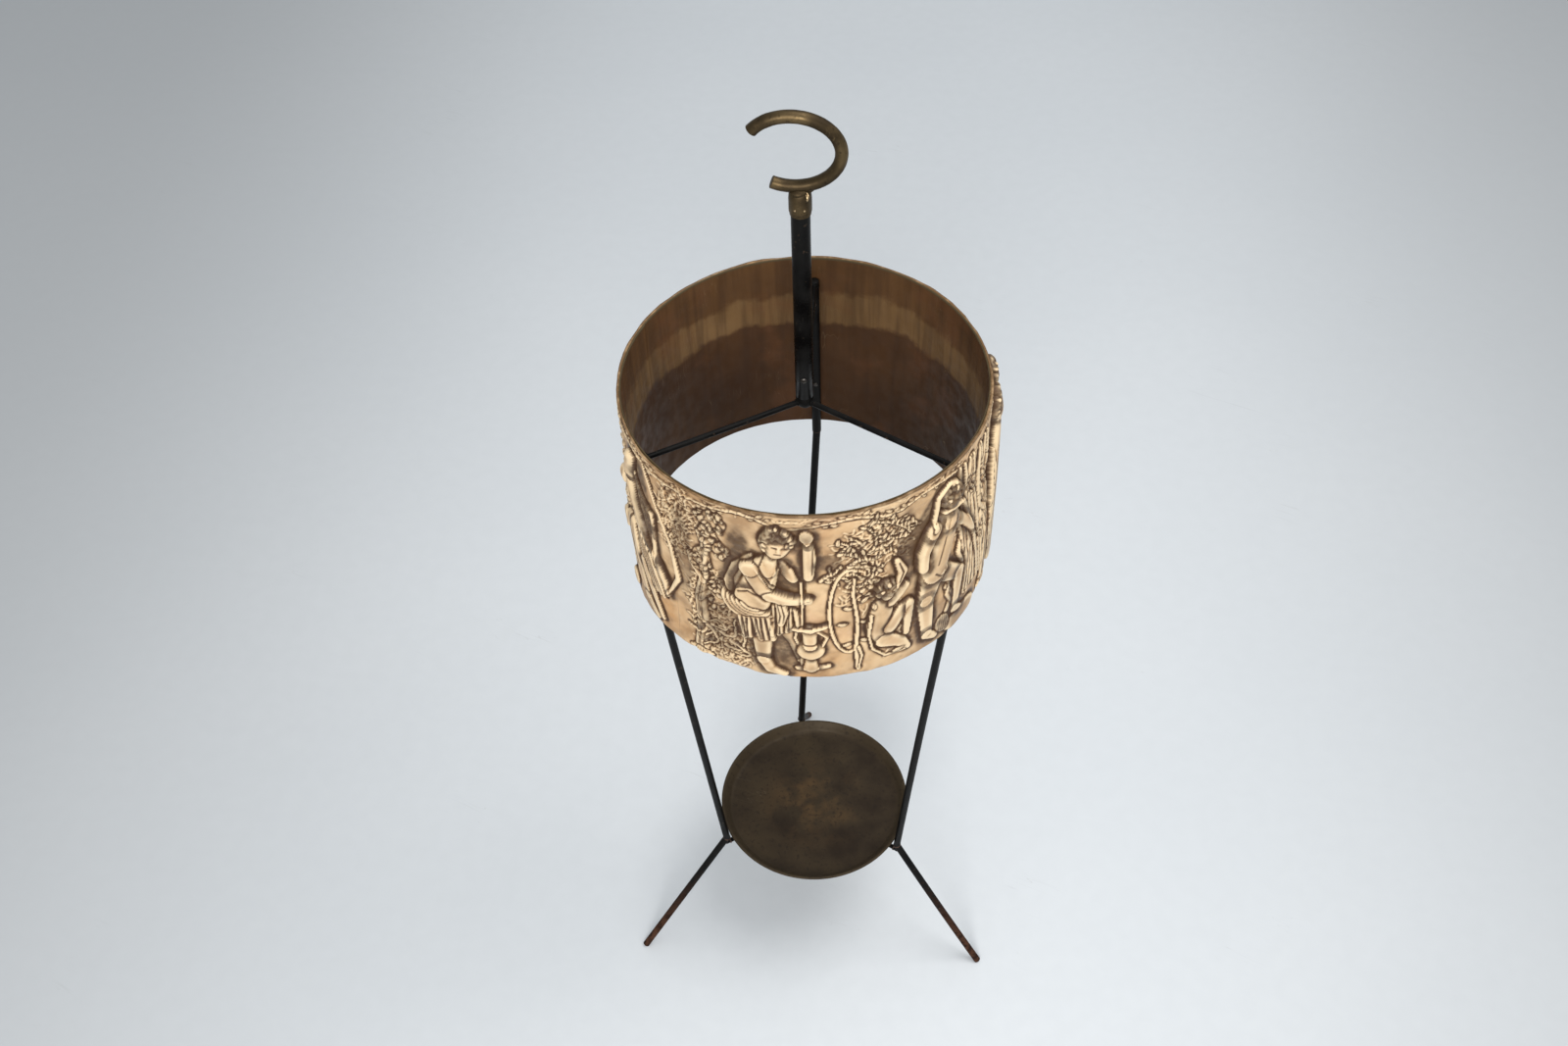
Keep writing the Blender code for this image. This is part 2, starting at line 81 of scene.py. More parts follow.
SKIN_INNER = LINER_OUTER + 0.0003
SKIN_GROUND = LINER_OUTER + 0.0014
BAND_BOTTOM = BAND_LOW.z
BAND_TOP = BAND_HIGH.z
KNEE_RADIUS = 0.0867
KNEE_LEVEL = 0.1214
FOOT_RADIUS = 0.176
FOOT_FILED = 0.0015

# Camera: its place, its heading, pitch and roll in degrees, and its lens in millimetres
CAMERA_PLACE = (0.0603, AXIS_Y - 0.8114, 1.4151)
CAMERA_TURNS = (5.473, 48.465, -2.26)
CAMERA_LENS = 38.487

# Relief grid
COLUMNS = 1200
ROWS = 240
SECTORS = 3
GIRTH = math.tau * SKIN_GROUND * 1000
TALL = (BAND_TOP - BAND_BOTTOM) * 1000
STEP_X = GIRTH / COLUMNS
STEP_Y = TALL / (ROWS - 1)
SEAM_AZIMUTH = 229

# Swell of the relief's ground towards its lower edge: azimuth and half width in degrees, and millimetres
SWELLS = ((215, 16, 3.2), (290, 22, 1.8), (319, 20, 5.0), (346, 18, 1.8))
LEAST_SWELL = 1.6

# How far the relief may rise, in millimetres, and over what height it is eased off
MOST_RISE = 6.1
RISE_EASE = 1.4

# Lap seam of the liner, in degrees
LINER_SEAM = 157.0


# ---------------------------------------------------------------- relief drawing


def across_at(azimuth):
    return math.radians(azimuth) * SKIN_GROUND * 1000


def spots(*places):
    """Points from azimuths in degrees and heights over the lower edge."""
    return [(across_at(azimuth), y) for azimuth, y in places]


def beside(azimuth):
    """Maker of points that are measured sideways from an azimuth and up from the lower edge."""
    origin = across_at(azimuth)

    def at(*points):
        return [(origin + x, y) for x, y in points]

    return at


def soften(field, size):
    """Blur a field over about that many millimetres. It runs round the band without a seam."""
    mirrored = np.concatenate([field, field[::-1]])
    along_y = np.fft.fftfreq(2 * ROWS, STEP_Y)[:, None]
    along_x = np.fft.rfftfreq(COLUMNS, STEP_X)[None]
    kept = np.exp(-2 * (math.pi * size) ** 2 * (along_x**2 + along_y**2))
    return np.fft.irfft2(np.fft.rfft2(mirrored) * kept, mirrored.shape)[:ROWS]


def rough(size, seed):
    """Noise with a grain of about that many millimetres and a spread of 1."""
    noise = soften(np.random.default_rng(seed).normal(size=(ROWS, COLUMNS)), size)
    return noise / noise.std()


def smooth_step(value):
    value = np.clip(value, 0, 1)
    return value * value * (3 - 2 * value)


class Relief:
    """Height of the moulding over its ground. X runs anticlockwise round the band and Y runs up."""

    def __init__(self):
        self.level = np.zeros((ROWS, COLUMNS))
        # Second field: umber such as hair, and painted shade that darkens the ground beside raised shapes
        self.wash = np.zeros((ROWS, COLUMNS))
        self.halo = (0.9, 0.55)
        self.x = np.arange(COLUMNS)[None] * STEP_X
        self.y = np.arange(ROWS)[:, None] * STEP_Y

    def patch(self, points, margin):
        """The part of the grid round some points, and the place of each of its cells."""
        low = points.min(0) - margin
        high = points.max(0) + margin
        columns = np.arange(math.floor(low[0] / STEP_X), math.ceil(high[0] / STEP_X) + 1)
        first = max(0, math.floor(low[1] / STEP_Y))
        last = min(ROWS - 1, math.ceil(high[1] / STEP_Y))
        rows = np.arange(first, max(first, last) + 1)
        x, y = np.meshgrid(columns * STEP_X, rows * STEP_Y)
        return np.ix_(rows, columns % COLUMNS), x, y

    def distance(self, points, radii, margin):
        """How far each cell lies outside a tapered line, and its distance as a share of the radius."""
        points = np.array(points, float)
        radii = np.broadcast_to(np.array(radii, float), len(points))
        place, x, y = self.patch(points, radii.max() + margin)
        edge = np.full(x.shape, 1e9)
        share = np.full(x.shape, 1e9)
        for index in range(len(points) - 1):
            start, run = points[index], points[index + 1] - points[index]
            along = ((x - start[0]) * run[0] + (y - start[1]) * run[1]) / (run @ run + 1e-9)
            along = np.clip(along, 0, 1)
            away = np.hypot(x - start[0] - along * run[0], y - start[1] - along * run[1])
            radius = radii[index] + (radii[index + 1] - radii[index]) * along
            edge = np.minimum(edge, away - radius)
            share = np.minimum(share, away / radius)
        return place, edge, share

    def lay(self, place, edge, share, height, lift, groove):
        """Lay a rounded shape on the ground, with a groove and a halo of painted shade beside it."""
        level, wash = self.level[place], self.wash[place]
        raised = lift + height * np.sqrt(1 - np.minimum(share, 1) ** 2)
        beside = level - groove * np.exp(-((edge / 1.5) ** 2))
        self.level[place] = np.where(share < 1, np.maximum(level, raised), beside)
        # The halo is painted shade: it darkens the ground round the shape's edge
        wide, strong = self.halo
        shaded = np.maximum(wash, strong * np.exp(-((np.maximum(edge, 0) / wide) ** 2)))
        clean = wash * 0.25 * smooth_step(share * 1.2 - 0.2)
        self.wash[place] = np.where(share < 1, clean, shaded)

    def bar(self, points, radii, height, lift=0.0, groove=0.7):
        """Rounded bar along a line, with a groove beside it."""
        place, edge, share = self.distance(points, radii, 4)
        self.lay(place, edge, share, height, lift, groove)

    def dome(self, centre, half_x, half_y, turn, height, lift=0.0, groove=0.7):
        """Oval dome with a groove round it."""
        centre = np.array([centre], float)
        place, x, y = self.patch(centre, max(half_x, half_y) + 4)
        cosine, sine = math.cos(math.radians(turn)), math.sin(math.radians(turn))
        across = ((x - centre[0, 0]) * cosine + (y - centre[0, 1]) * sine) / half_x
        up = (-(x - centre[0, 0]) * sine + (y - centre[0, 1]) * cosine) / half_y
        share = np.hypot(across, up)
        self.lay(place, (share - 1) * min(half_x, half_y), share, height, lift, groove)

    def fold(self, points, radius, height):
        """Soft ridge with a valley at each side, added to what is there."""
        place, _, share = self.distance(points, radius, 2.5 * np.max(radius))
        self.level[place] += height * (1 - share**2) * np.exp(-(share**2))

    def paint(self, centre, half_x, half_y, turn, strength, spare=None):
        """Darken a soft oval in the umber and painted-shade field: it gives hair its umber and paints shade
        beside raised shapes. The spare oval (x, y, half_x, half_y) stays clean.
        """
        centre = np.array([centre], float)
        place, x, y = self.patch(centre, max(half_x, half_y) * 1.6)
        cosine, sine = math.cos(math.radians(turn)), math.sin(math.radians(turn))
        across = ((x - centre[0, 0]) * cosine + (y - centre[0, 1]) * sine) / half_x
        up = (-(x - centre[0, 0]) * sine + (y - centre[0, 1]) * cosine) / half_y
        mask = strength * smooth_step((1.35 - np.hypot(across, up)) / 0.6)
        if spare:
            mask *= smooth_step(
                (np.hypot((x - spare[0]) / spare[2], (y - spare[1]) / spare[3]) - 0.85) / 0.3
            )
        self.wash[place] = np.maximum(self.wash[place], mask)

    def paint_line(self, points, radii, strength):
        # Darken a soft line in the umber and painted-shade field
        place, _, share = self.distance(points, radii, 3)
        self.wash[place] = np.maximum(self.wash[place], strength * smooth_step(1.4 - share))

    def crease(self, points, width, depth):
        place, _, share = self.distance(points, width, 2 * width)
        self.level[place] -= depth * np.exp(-(share**2))
        # The crease is also darkened in the umber and painted-shade field
        self.wash[place] = np.maximum(self.wash[place], min(1.0, depth) * np.exp(-(share**2)))

    def wandering(self, start, heading, length, bend, random):
        """Points of a line that wanders off from a start."""
        points = [np.array(start, float)]
        turn = 0.0
        for _ in range(max(2, int(length / 1.5))):
            turn = 0.6 * turn + random.normal(0, bend)
            heading += turn
            points.append(points[-1] + 1.5 * np.array([math.cos(heading), math.sin(heading)]))
        return points

    def scribble(self, centre, half_x, half_y, count, seed, height):
        """Tangle of thin raised lines over an oval patch."""
        random = np.random.default_rng(seed)
        for _ in range(count):
            away = math.sqrt(random.random())
            angle = random.random() * math.tau
            start = (
                centre[0] + half_x * away * math.cos(angle),
                centre[1] + half_y * away * math.sin(angle),
            )
            heading = random.random() * math.tau
            points = self.wandering(start, heading, random.uniform(0.5, 1.3) * 9, 0.35, random)
            self.fold(points, random.uniform(0.75, 1.15), random.uniform(0.6, 1.1) * height)

    def leaf(self, centre, length, turn, height, lift):
        self.dome(centre, length / 2, length / 4.2, turn, height, lift, 0.5)
        tip = np.array([math.cos(math.radians(turn)), math.sin(math.radians(turn))]) * length * 0.42
        centre = np.array(centre, float)
        self.crease([centre - tip, centre + tip], 0.5, 0.45)

    def foliage(self, centre, half_x, half_y, count, seed, lift=0.6):
        """Crown of leaves over a lumpy mass."""
        random = np.random.default_rng(seed)
        self.dome(centre, half_x * 0.9, half_y * 0.9, 0, 0.9, lift * 0.5, 0.5)
        for _ in range(count):
            away = math.sqrt(random.random())
            angle = random.random() * math.tau
            place = (
                centre[0] + half_x * away * math.cos(angle),
                centre[1] + half_y * away * math.sin(angle),
            )
            size = random.uniform(3.6, 6.5)
            rise = lift + random.uniform(0.0, 1.4) * (1 - 0.5 * away)
            self.leaf(place, size, random.uniform(0, 360), random.uniform(0.7, 1.3), rise)

    def curls(self, centre, half_x, half_y, turn, count, seed, lift, spare=None):
        """Locks of hair over an oval. The spare oval (x, y, half_x, half_y) stays free of them."""
        random = np.random.default_rng(seed)
        cosine, sine = math.cos(math.radians(turn)), math.sin(math.radians(turn))
        for _ in range(count):
            away = math.sqrt(random.random())
            angle = random.random() * math.tau
            across = half_x * away * math.cos(angle)
            up = half_y * away * math.sin(angle)
            place = (centre[0] + across * cosine - up * sine, centre[1] + across * sine + up * cosine)
            if spare and math.hypot((place[0] - spare[0]) / spare[2], (place[1] - spare[1]) / spare[3]) < 1:
                continue
            self.dome(
                place,
                random.uniform(1.4, 2.3),
                1.3,
                random.uniform(0, 180),
                0.9,
                lift * (1 - 0.3 * away),
                0.35,
            )


def head(relief, centre, size, turn, facing, seed, lift=1.4, long_hair=False):
    """Head with a calm, plain face. Facing runs from -1 for left to 1 for right."""
    cosine, sine = math.cos(math.radians(turn)), math.sin(math.radians(turn))

    def at(across, up):
        across, up = across * size, up * size
        return (centre[0] + across * cosine - up * sine, centre[1] + across * sine + up * cosine)

    if long_hair:
        back = -facing if facing else 1
        relief.bar(
            [at(back * 0.7, 0.5), at(back * 1.0, -0.6), at(back * 0.9, -1.6)],
            [size * 0.6, size * 0.55, 1.5],
            2.4,
            lift * 0.5,
        )
    relief.dome(at(-facing * 0.12, 0.28), size * 1.16, size * 1.22, turn, 3.6, lift, 1.0)
    relief.dome(at(facing * 0.08, -0.05), size * 0.86, size * 1.16, turn, 3.9, lift + 0.3, 0.25)
    middle = facing * 0.30
    relief.fold([at(middle, 0.22), at(middle + facing * 0.10, -0.22)], size * 0.13, 0.9)
    relief.fold([at(middle - 0.46, 0.30), at(middle - 0.12, 0.34)], size * 0.10, 0.4)
    relief.fold([at(middle + 0.12, 0.34), at(middle + 0.44, 0.30)], size * 0.10, 0.4)
    relief.crease([at(middle - 0.42, 0.14), at(middle - 0.16, 0.13)], size * 0.09, 0.55)
    relief.crease([at(middle + 0.18, 0.13), at(middle + 0.42, 0.14)], size * 0.09, 0.55)
    relief.crease([at(middle - 0.17, -0.48), at(middle + 0.22, -0.48)], size * 0.07, 0.6)
    relief.fold([at(middle - 0.10, -0.62), at(middle + 0.14, -0.62)], size * 0.10, 0.35)
    face = (*at(facing * 0.16, -0.22), size * 0.80, size * 0.98)
    relief.paint(at(-facing * 0.12, 0.28), size * 1.02, size * 1.08, turn, 0.85, face)
    relief.curls(at(-facing * 0.10, 0.40), size * 1.25, size * 1.25, turn, 70, seed, lift + 3.2, face)


def pleats(relief, top_left, top_right, hem_left, hem_right, count, seed, height=1.5, lift=1.0):
    """Hanging cloth: a soft sheet between a top edge and a hem, with pleats that fan out."""
    random = np.random.default_rng(seed)
    corners = [np.array(point, float) for point in (top_left, top_right, hem_left, hem_right)]
    lines = []
    for index in range(count):
        share = (index + 0.5) / count
        top = corners[0] + (corners[1] - corners[0]) * share
        hem = corners[2] + (corners[3] - corners[2]) * share
        hem = hem + random.normal(0, 0.8, 2)
        sway = random.normal(0, 0.7)
        middle = (top + hem) / 2 + np.array([sway, 0])
        lines.append((top, middle, hem))
    wide = np.linalg.norm(corners[3] - corners[2]) / count
    narrow = np.linalg.norm(corners[1] - corners[0]) / count
    for line in lines:
        relief.bar(line, [narrow * 0.62, (narrow + wide) * 0.32, wide * 0.60], height, lift, 0.25)
    for before, after in zip(lines, lines[1:]):
        seam = [(first + second) / 2 for first, second in zip(before, after)]
        relief.crease(seam, 0.75, 0.9)
    for line in lines:
        relief.fold([line[0], line[1], line[2]], wide * 0.22, 0.45)


def person(
    relief, azimuth, pose, dress="tunic", mirror=1, seed=1, size=9.0, facing=1, tilt=0.0, long_hair=False
):
    """Standing or seated figure. The pose gives joints in millimetres from its place on the lower edge."""
    origin = across_at(azimuth)

    def at(*names):
        return [(origin + mirror * pose[name][0], pose[name][1]) for name in names]

    relief.bar(at("back_hip", "back_knee", "back_ankle"), [7.0, 5.0, 3.1], 2.4, 0.3, 0.9)
    relief.bar(at("back_ankle", "back_toe"), [3.0, 2.1], 1.9, 0.3)
    relief.bar(at("back_shoulder", "back_elbow", "back_hand"), [4.2, 3.3, 2.4], 2.3, 0.5, 0.9)
    relief.dome(at("back_hand")[0], 2.9, 2.5, 0, 1.8, 1.2)
    if dress == "tunic":
        relief.bar(at("front_hip", "front_knee", "front_ankle"), [8.0, 5.8, 3.6], 3.5, 0.9, 1.0)
        relief.dome(at("front_knee")[0], 4.6, 4.8, 0, 3.2, 1.6, 0.1)
    relief.bar(at("front_ankle", "front_toe"), [3.4, 2.4], 2.4, 0.7)
    relief.bar(at("chest", "waist", "hips"), [11.0, 8.6, 10.2], 3.9, 1.0, 1.1)
    chest, waist, hips, neck = at("chest", "waist", "hips", "neck")
    if dress == "tunic":
        hem = min(point[1] for point in at("front_knee", "back_knee")) + 9
        pleats(
            relief,
            (waist[0] - 9, waist[1]),
            (waist[0] + 9, waist[1]),
            (hips[0] - 17, hem),
            (hips[0] + 16, hem),
            8,
            seed,
            2.2,
            2.4,
        )
        for index in range(5):
            drop = 3.2 * index
            relief.bar(
                [
                    (waist[0] - 14 + index, waist[1] + 9 - drop),
                    (waist[0] - 4, waist[1] - 1 - drop),
                    (waist[0] + 12, waist[1] + 2 - drop * 0.8),
                ],
                [1.4, 1.8, 1.3],
                1.3,
                4.2,
                0.6,
            )
        relief.fold(
            [(chest[0] - 9, chest[1] + 8), (chest[0] + 2, chest[1] - 8), (waist[0] + 3, waist[1])], 1.6, 0.9
        )
        relief.fold(
            [(chest[0] + 9, chest[1] + 7), (chest[0] + 3, chest[1] - 7), (waist[0] - 4, waist[1])], 1.6, 0.9
        )
        relief.fold([(chest[0] - 3, chest[1] + 8), (chest[0] + 4, chest[1] - 3)], 1.4, 0.6)
    else:
        foot_left = min(pose["front_toe"][0], pose["back_toe"][0]) - 8
        foot_right = max(pose["front_toe"][0], pose["back_toe"][0]) + 6
        hem_left, hem_right = sorted((origin + mirror * foot_left, origin + mirror * foot_right))
        pleats(
            relief,
            (chest[0] - 8, chest[1] - 3),
            (chest[0] + 9, chest[1] - 4),
            (hem_left, 12),
            (hem_right, 11),
            9,
            seed,
            2.4,
            1.6,
        )
        for index in range(4):
            drop = 5.5 * index
            relief.bar(
                [
                    (chest[0] - 11, chest[1] + 2 - drop),
                    (chest[0] + 1, chest[1] - 10 - drop),
                    (chest[0] + 13, chest[1] - 2 - drop * 1.3),
                ],
                [1.5, 2.1, 1.3],
                1.4,
                4.0,
                0.6,
            )
    relief.bar([chest, neck], [5.2, 4.2], 3.2, 1.4, 0.2)
    centre = at("head")[0]
    head(relief, centre, size, tilt, mirror * facing, seed + 50, 1.4, long_hair)
    relief.bar(at("front_shoulder", "front_elbow", "front_hand"), [5.0, 4.0, 2.8], 2.5, 3.1, 1.2)
    relief.dome(at("front_shoulder")[0], 5.4, 5.2, 0, 2.6, 3.0, 0.1)
    relief.dome(at("front_hand")[0], 3.3, 2.7, 20, 2.0, 3.6, 0.6)
    for finger in (-1.2, 0.0, 1.2):
        hand = at("front_hand")[0]
        relief.crease([(hand[0] + 0.5, hand[1] + finger), (hand[0] + 3.0, hand[1] + finger)], 0.4, 0.4)


def vase(relief, azimuth, foot, tall, wide, lift=0.5):
    """Footed vase with a flared lip."""
    x = across_at(azimuth)
    relief.bar([(x - wide * 0.42, foot), (x + wide * 0.42, foot)], [1.8, 1.8], 1.8, lift)
    relief.bar([(x, foot + 2), (x, foot + tall * 0.28)], [wide * 0.30, wide * 0.18], 2.4, lift)
    relief.dome((x, foot + tall * 0.50), wide * 0.52, tall * 0.26, 0, 3.6, lift)
    relief.bar([(x, foot + tall * 0.66), (x, foot + tall * 0.94)], [wide * 0.26, wide * 0.32], 2.6, lift)
    relief.bar([(x - wide * 0.46, foot + tall), (x + wide * 0.46, foot + tall)], [1.7, 1.7], 2.6, lift)
    relief.bar(
        [
            (x - wide * 0.42, foot + tall * 0.94),
            (x - wide * 0.78, foot + tall * 0.74),
            (x - wide * 0.50, foot + tall * 0.50),
        ],
        1.1,
        1.6,
        lift,
    )
    relief.crease([(x - wide * 0.48, foot + tall * 0.56), (x + wide * 0.48, foot + tall * 0.56)], 0.5, 0.5)


def tree(relief, azimuth, lean, top, seed, crown=None):
    """Knotted trunk with bark lines, and a crown of leaves."""
    random = np.random.default_rng(seed)
    x = across_at(azimuth)
    points = []
    for share in np.linspace(0, 1, 7):
        points.append((x + lean * share + random.normal(0, 1.6), 4 + (top - 4) * share))
    relief.bar(points, np.linspace(6.0, 3.0, 7), 2.8, 0.4, 1.0)
    for offset in (-2.6, -0.6, 1.7):
        bark = [
            (px + offset * (1 - 0.08 * i) + random.normal(0, 0.5), py) for i, (px, py) in enumerate(points)
        ]
        relief.crease(bark, 0.55, 0.7)
    for side in (-1, 1):
        relief.bar([points[0], (points[0][0] + side * 9, 3)], [4.0, 1.2], 1.8, 0.3)
        start = points[3 if side > 0 else 4]
        relief.bar(
            [start, (start[0] + side * 10, start[1] + 12), (start[0] + side * 12, start[1] + 21)],
            [2.6, 1.8, 1.0],
            1.9,
            0.4,
        )
    if crown:
        relief.foliage((points[-1][0], top), crown[0], crown[1], crown[2], seed + 7)


def branch(relief, azimuth, y, headings, seed, thick=1.5):
    """Branch that forks and bears leaves."""
    random = np.random.default_rng(seed)
    x = across_at(azimuth)
    for heading, length in headings:
        points = relief.wandering((x, y), math.radians(heading), length, 0.16, random)
        relief.bar(points, np.linspace(thick, 0.8, len(points)), 1.5, 0.25, 0.7)
        for index in range(3, len(points), 3):
            side = random.choice((-1, 1))
            twig = math.radians(heading) + side * random.uniform(0.6, 1.2)
            small = relief.wandering(points[index], twig, random.uniform(5, 10), 0.25, random)
            relief.bar(small, 0.8, 1.1, 0.15, 0.6)
            relief.leaf(
                small[-1], random.uniform(4, 6), math.degrees(twig) + random.normal(0, 25), 1.0, 0.3
            )


def borders(relief):
    """Creeper and ragged moulding under the rim, and a plain lower edge."""
    random = np.random.default_rng(11)
    rise = rough(9, 3)[0]
    for start in range(0, COLUMNS, 8):
        x = start * STEP_X
        y = TALL - 8.0 + 1.6 * rise[start]
        ahead = TALL - 8.0 + 1.6 * rise[(start + 8) % COLUMNS]
        relief.bar([(x, y), (x + 8 * STEP_X, ahead)], 1.25, 1.15, 0.1, 0.0)
        relief.crease([(x, y - 2.1), (x + 8 * STEP_X, ahead - 2.1)], 0.7, 0.55)
        if random.random() < 0.55:
            relief.leaf(
                (x + 2, y + random.choice((2.6, 3.0, -3.2))),
                random.uniform(3.5, 5.5),
                random.uniform(-40, 40),
                0.8,
                0.15,
            )
    for _ in range(210):
        start = (random.uniform(0, GIRTH), TALL - random.uniform(1.5, 7.0))
        points = relief.wandering(
            start, random.choice((0, math.pi)) + random.normal(0, 0.3), 8, 0.3, random
        )
        relief.fold(points, 0.8, 0.45)


CARRIER = {
    "head": (1, 127), "neck": (-1, 114), "chest": (-3, 103), "waist": (-3, 84), "hips": (-3, 68),
    "back_shoulder": (8, 107), "back_elbow": (18, 92), "back_hand": (19, 108),
    "front_shoulder": (-13, 106), "front_elbow": (-3, 83), "front_hand": (20, 79),
    "back_hip": (3, 62), "back_knee": (6, 42), "back_ankle": (11, 24), "back_toe": (17, 20),
    "front_hip": (-7, 62), "front_knee": (-6, 39), "front_ankle": (-1, 13), "front_toe": (8, 7),
}
DANCER = {
    "head": (3, 133), "neck": (2, 120), "chest": (1, 109), "waist": (-2, 89), "hips": (-4, 73),
    "back_shoulder": (11, 113), "back_elbow": (25, 121), "back_hand": (31, 138),
    "front_shoulder": (-9, 112), "front_elbow": (-22, 101), "front_hand": (-29, 115),
    "back_hip": (2, 68), "back_knee": (17, 53), "back_ankle": (26, 31), "back_toe": (33, 34),
    "front_hip": (-7, 68), "front_knee": (-9, 42), "front_ankle": (-6, 14), "front_toe": (-15, 9),
}
SEATED = {
    "head": (-2, 98), "neck": (-2, 86), "chest": (-3, 75), "waist": (-4, 57), "hips": (-4, 44),
    "back_shoulder": (6, 78), "back_elbow": (17, 66), "back_hand": (24, 76),
    "front_shoulder": (-12, 78), "front_elbow": (-9, 58), "front_hand": (11, 60),
    "back_hip": (3, 40), "back_knee": (26, 43), "back_ankle": (24, 16), "back_toe": (33, 12),
    "front_hip": (-2, 40), "front_knee": (20, 38), "front_ankle": (15, 13), "front_toe": (24, 8),
}


def water_girl(relief, azimuth):
    """Front figure: a girl in a tunic who tips a jug over an urn."""
    at = beside(azimuth)
    relief.halo = (5.4, 1.0)
    relief.bar(at((-15, 122), (-26, 108), (-31, 90), (-29, 70)), [1.6, 3.2, 4.0, 2.4], 1.5, 0.4, 0.6)
    relief.bar(at((-19, 112), (-25, 96), (-26, 76)), [1.6, 2.2, 2.0], 1.6, 0.9, 0.6)
    relief.bar(at((2, 60), (12, 40), (16, 20)), [6.5, 4.2, 2.8], 1.6, 0.0, 0.6)
    relief.bar(at((16, 19), (21, 14)), [2.6, 1.8], 1.4, 0.0)
    # Painted shade beside her leg
    relief.paint(at((5, 30))[0], 8, 19, 12, 0.62)
    relief.bar(at((-9, 62), (-9.5, 38), (-9, 18)), [9.0, 6.6, 5.0], 3.8, 0.9, 1.1)
    relief.bar(at((-9, 18), (-5, 9), (5, 5)), [5.0, 4.4, 2.6], 3.2, 0.7, 0.9)
    # Painted shade in the sunken field between her chest and the jug
    relief.paint(at((11, 96))[0], 9, 15, -10, 1.0)
    relief.level[relief.patch(np.array(at((11, 96))), 9)[0]] -= 0.5
    relief.bar(at((4, 116), (12, 103), (10, 112)), [4.6, 3.4, 2.4], 1.9, 0.4, 0.8)
    relief.bar(at((-6, 113), (-10, 98), (-14, 84)), [9.5, 11.0, 12.5], 3.8, 1.2, 1.2)
    relief.dome(at((-15, 80))[0], 12.5, 12.5, 0, 4.4, 1.4, 0.2)
    relief.halo = (0.9, 0.85)
    for index in range(5):
        reach = 8.0 + 3.3 * index
        arc = []
        for degrees in range(192 - 5 * index, 312 + 3 * index, 15):
            turn = math.radians(degrees)
            arc.append((-14 + reach * math.cos(turn), 79 + reach * math.sin(turn) * 0.92))
        relief.bar(at(*arc), [0.9] + [1.9] * (len(arc) - 2) + [0.7], 1.7, 4.6 - 0.6 * index, 0.8)
    relief.halo = (0.8, 0.8)
    pleats(relief, at((-25, 60))[0], at((-3, 64))[0], at((-24, 42))[0], at((-1, 43))[0], 7, 3, 2.2, 2.6)
    pleats(relief, at((-2, 76))[0], at((14, 72))[0], at((-3, 48))[0], at((14, 54))[0], 6, 4, 2.0, 1.4)
    relief.bar(at((3, 84), (5, 72), (3.5, 60)), [3.2, 3.8, 2.2], 2.2, 3.2, 1.0)
    for shift in (-1.4, 1.2):
        relief.crease(at((3 + shift, 82), (5 + shift, 70), (4 + shift, 62)), 0.55, 0.8)
    relief.fold(at((-13, 116), (-5, 102), (-1, 94)), 1.3, 1.2)
    relief.crease(at((-10.5, 116), (-3, 102), (0, 96)), 0.7, 0.9)
    relief.fold(at((4, 117), (0, 106), (-3, 97)), 1.2, 1.0)
    relief.crease(at((-18, 100), (-12, 92), (-6, 90)), 0.8, 0.7)
    relief.crease(at((-24, 86), (-17, 90), (-9, 86)), 0.8, 0.7)
    relief.halo = (1.4, 0.95)
    relief.bar(at((-2, 121), (-4, 112)), [4.6, 5.4], 3.4, 1.4, 0.4)
    head(relief, at((2, 136))[0], 9.6, -12, 0.7, 53, 1.6)
    relief.paint(at((1, 146))[0], 9, 5.5, -8, 0.9)
    relief.bar(at((-16, 111), (-8, 94), (-3, 87)), [6.2, 5.2, 4.6], 3.0, 3.2, 1.4)
    relief.bar(at((-3, 87), (9, 84), (19, 84)), [4.6, 3.6, 2.6], 2.8, 3.2, 1.2)
    relief.dome(at((-16, 112))[0], 7.0, 6.2, 20, 3.0, 3.0, 0.1)
    relief.dome(at((21, 84))[0], 3.6, 2.8, 0, 2.2, 3.6, 0.8)
    for finger in (-1.2, 0.2, 1.6):
        relief.crease(at((20.5, 83.6 + finger), (24.0, 84.0 + finger)), 0.4, 0.6)
    relief.halo = (4.6, 1.0)
    relief.bar(at((22, 106), (23, 122), (22, 137)), [3.4, 4.4, 3.6], 3.0, 0.9, 1.1)
    relief.dome(at((21, 144))[0], 4.6, 5.6, 10, 2.6, 0.8)
    relief.paint(at((21, 145))[0], 3.6, 4.2, 10, 0.5)
    relief.crease(at((24.4, 110), (25.0, 134)), 0.6, 0.8)
    relief.halo = (1.2, 0.8)
    relief.bar(at((17.0, 99), (17.5, 78), (17.0, 57)), 0.9, 1.3, 0.5, 0.8)
    relief.bar(at((14, 56), (12.5, 44), (17, 30), (16, 12)), 1.0, 1.1, 0.3, 0.8)


def urn(relief, azimuth):
    """Wide-lipped urn with a round body."""
    x = across_at(azimuth)
    relief.halo = (3.2, 0.8)
    relief.bar([(x - 9, 11), (x, 10), (x + 12, 13)], [1.8, 2.2, 1.6], 1.6, 0.3, 0.9)
    relief.bar([(x, 12), (x, 23)], [5.2, 3.0], 2.2, 0.4)
    relief.dome((x, 31), 9.2, 8.8, 0, 4.6, 0.5, 1.0)
    relief.bar([(x - 0.5, 38), (x - 0.5, 52)], [4.4, 5.2], 2.8, 0.5)
    relief.bar([(x - 11, 54.5), (x, 53), (x + 12, 56.5)], [1.1, 1.9, 1.0], 1.9, 1.6, 1.0)
    relief.halo = (0.8, 0.7)
    relief.bar([(x + 5, 50), (x + 11, 44), (x + 8, 36)], 1.0, 1.5, 0.4)
    relief.crease([(x - 5, 38.5), (x + 4.5, 38.5)], 0.6, 0.8)
    relief.crease([(x - 4, 21.5), (x + 4, 21.5)], 0.6, 0.7)


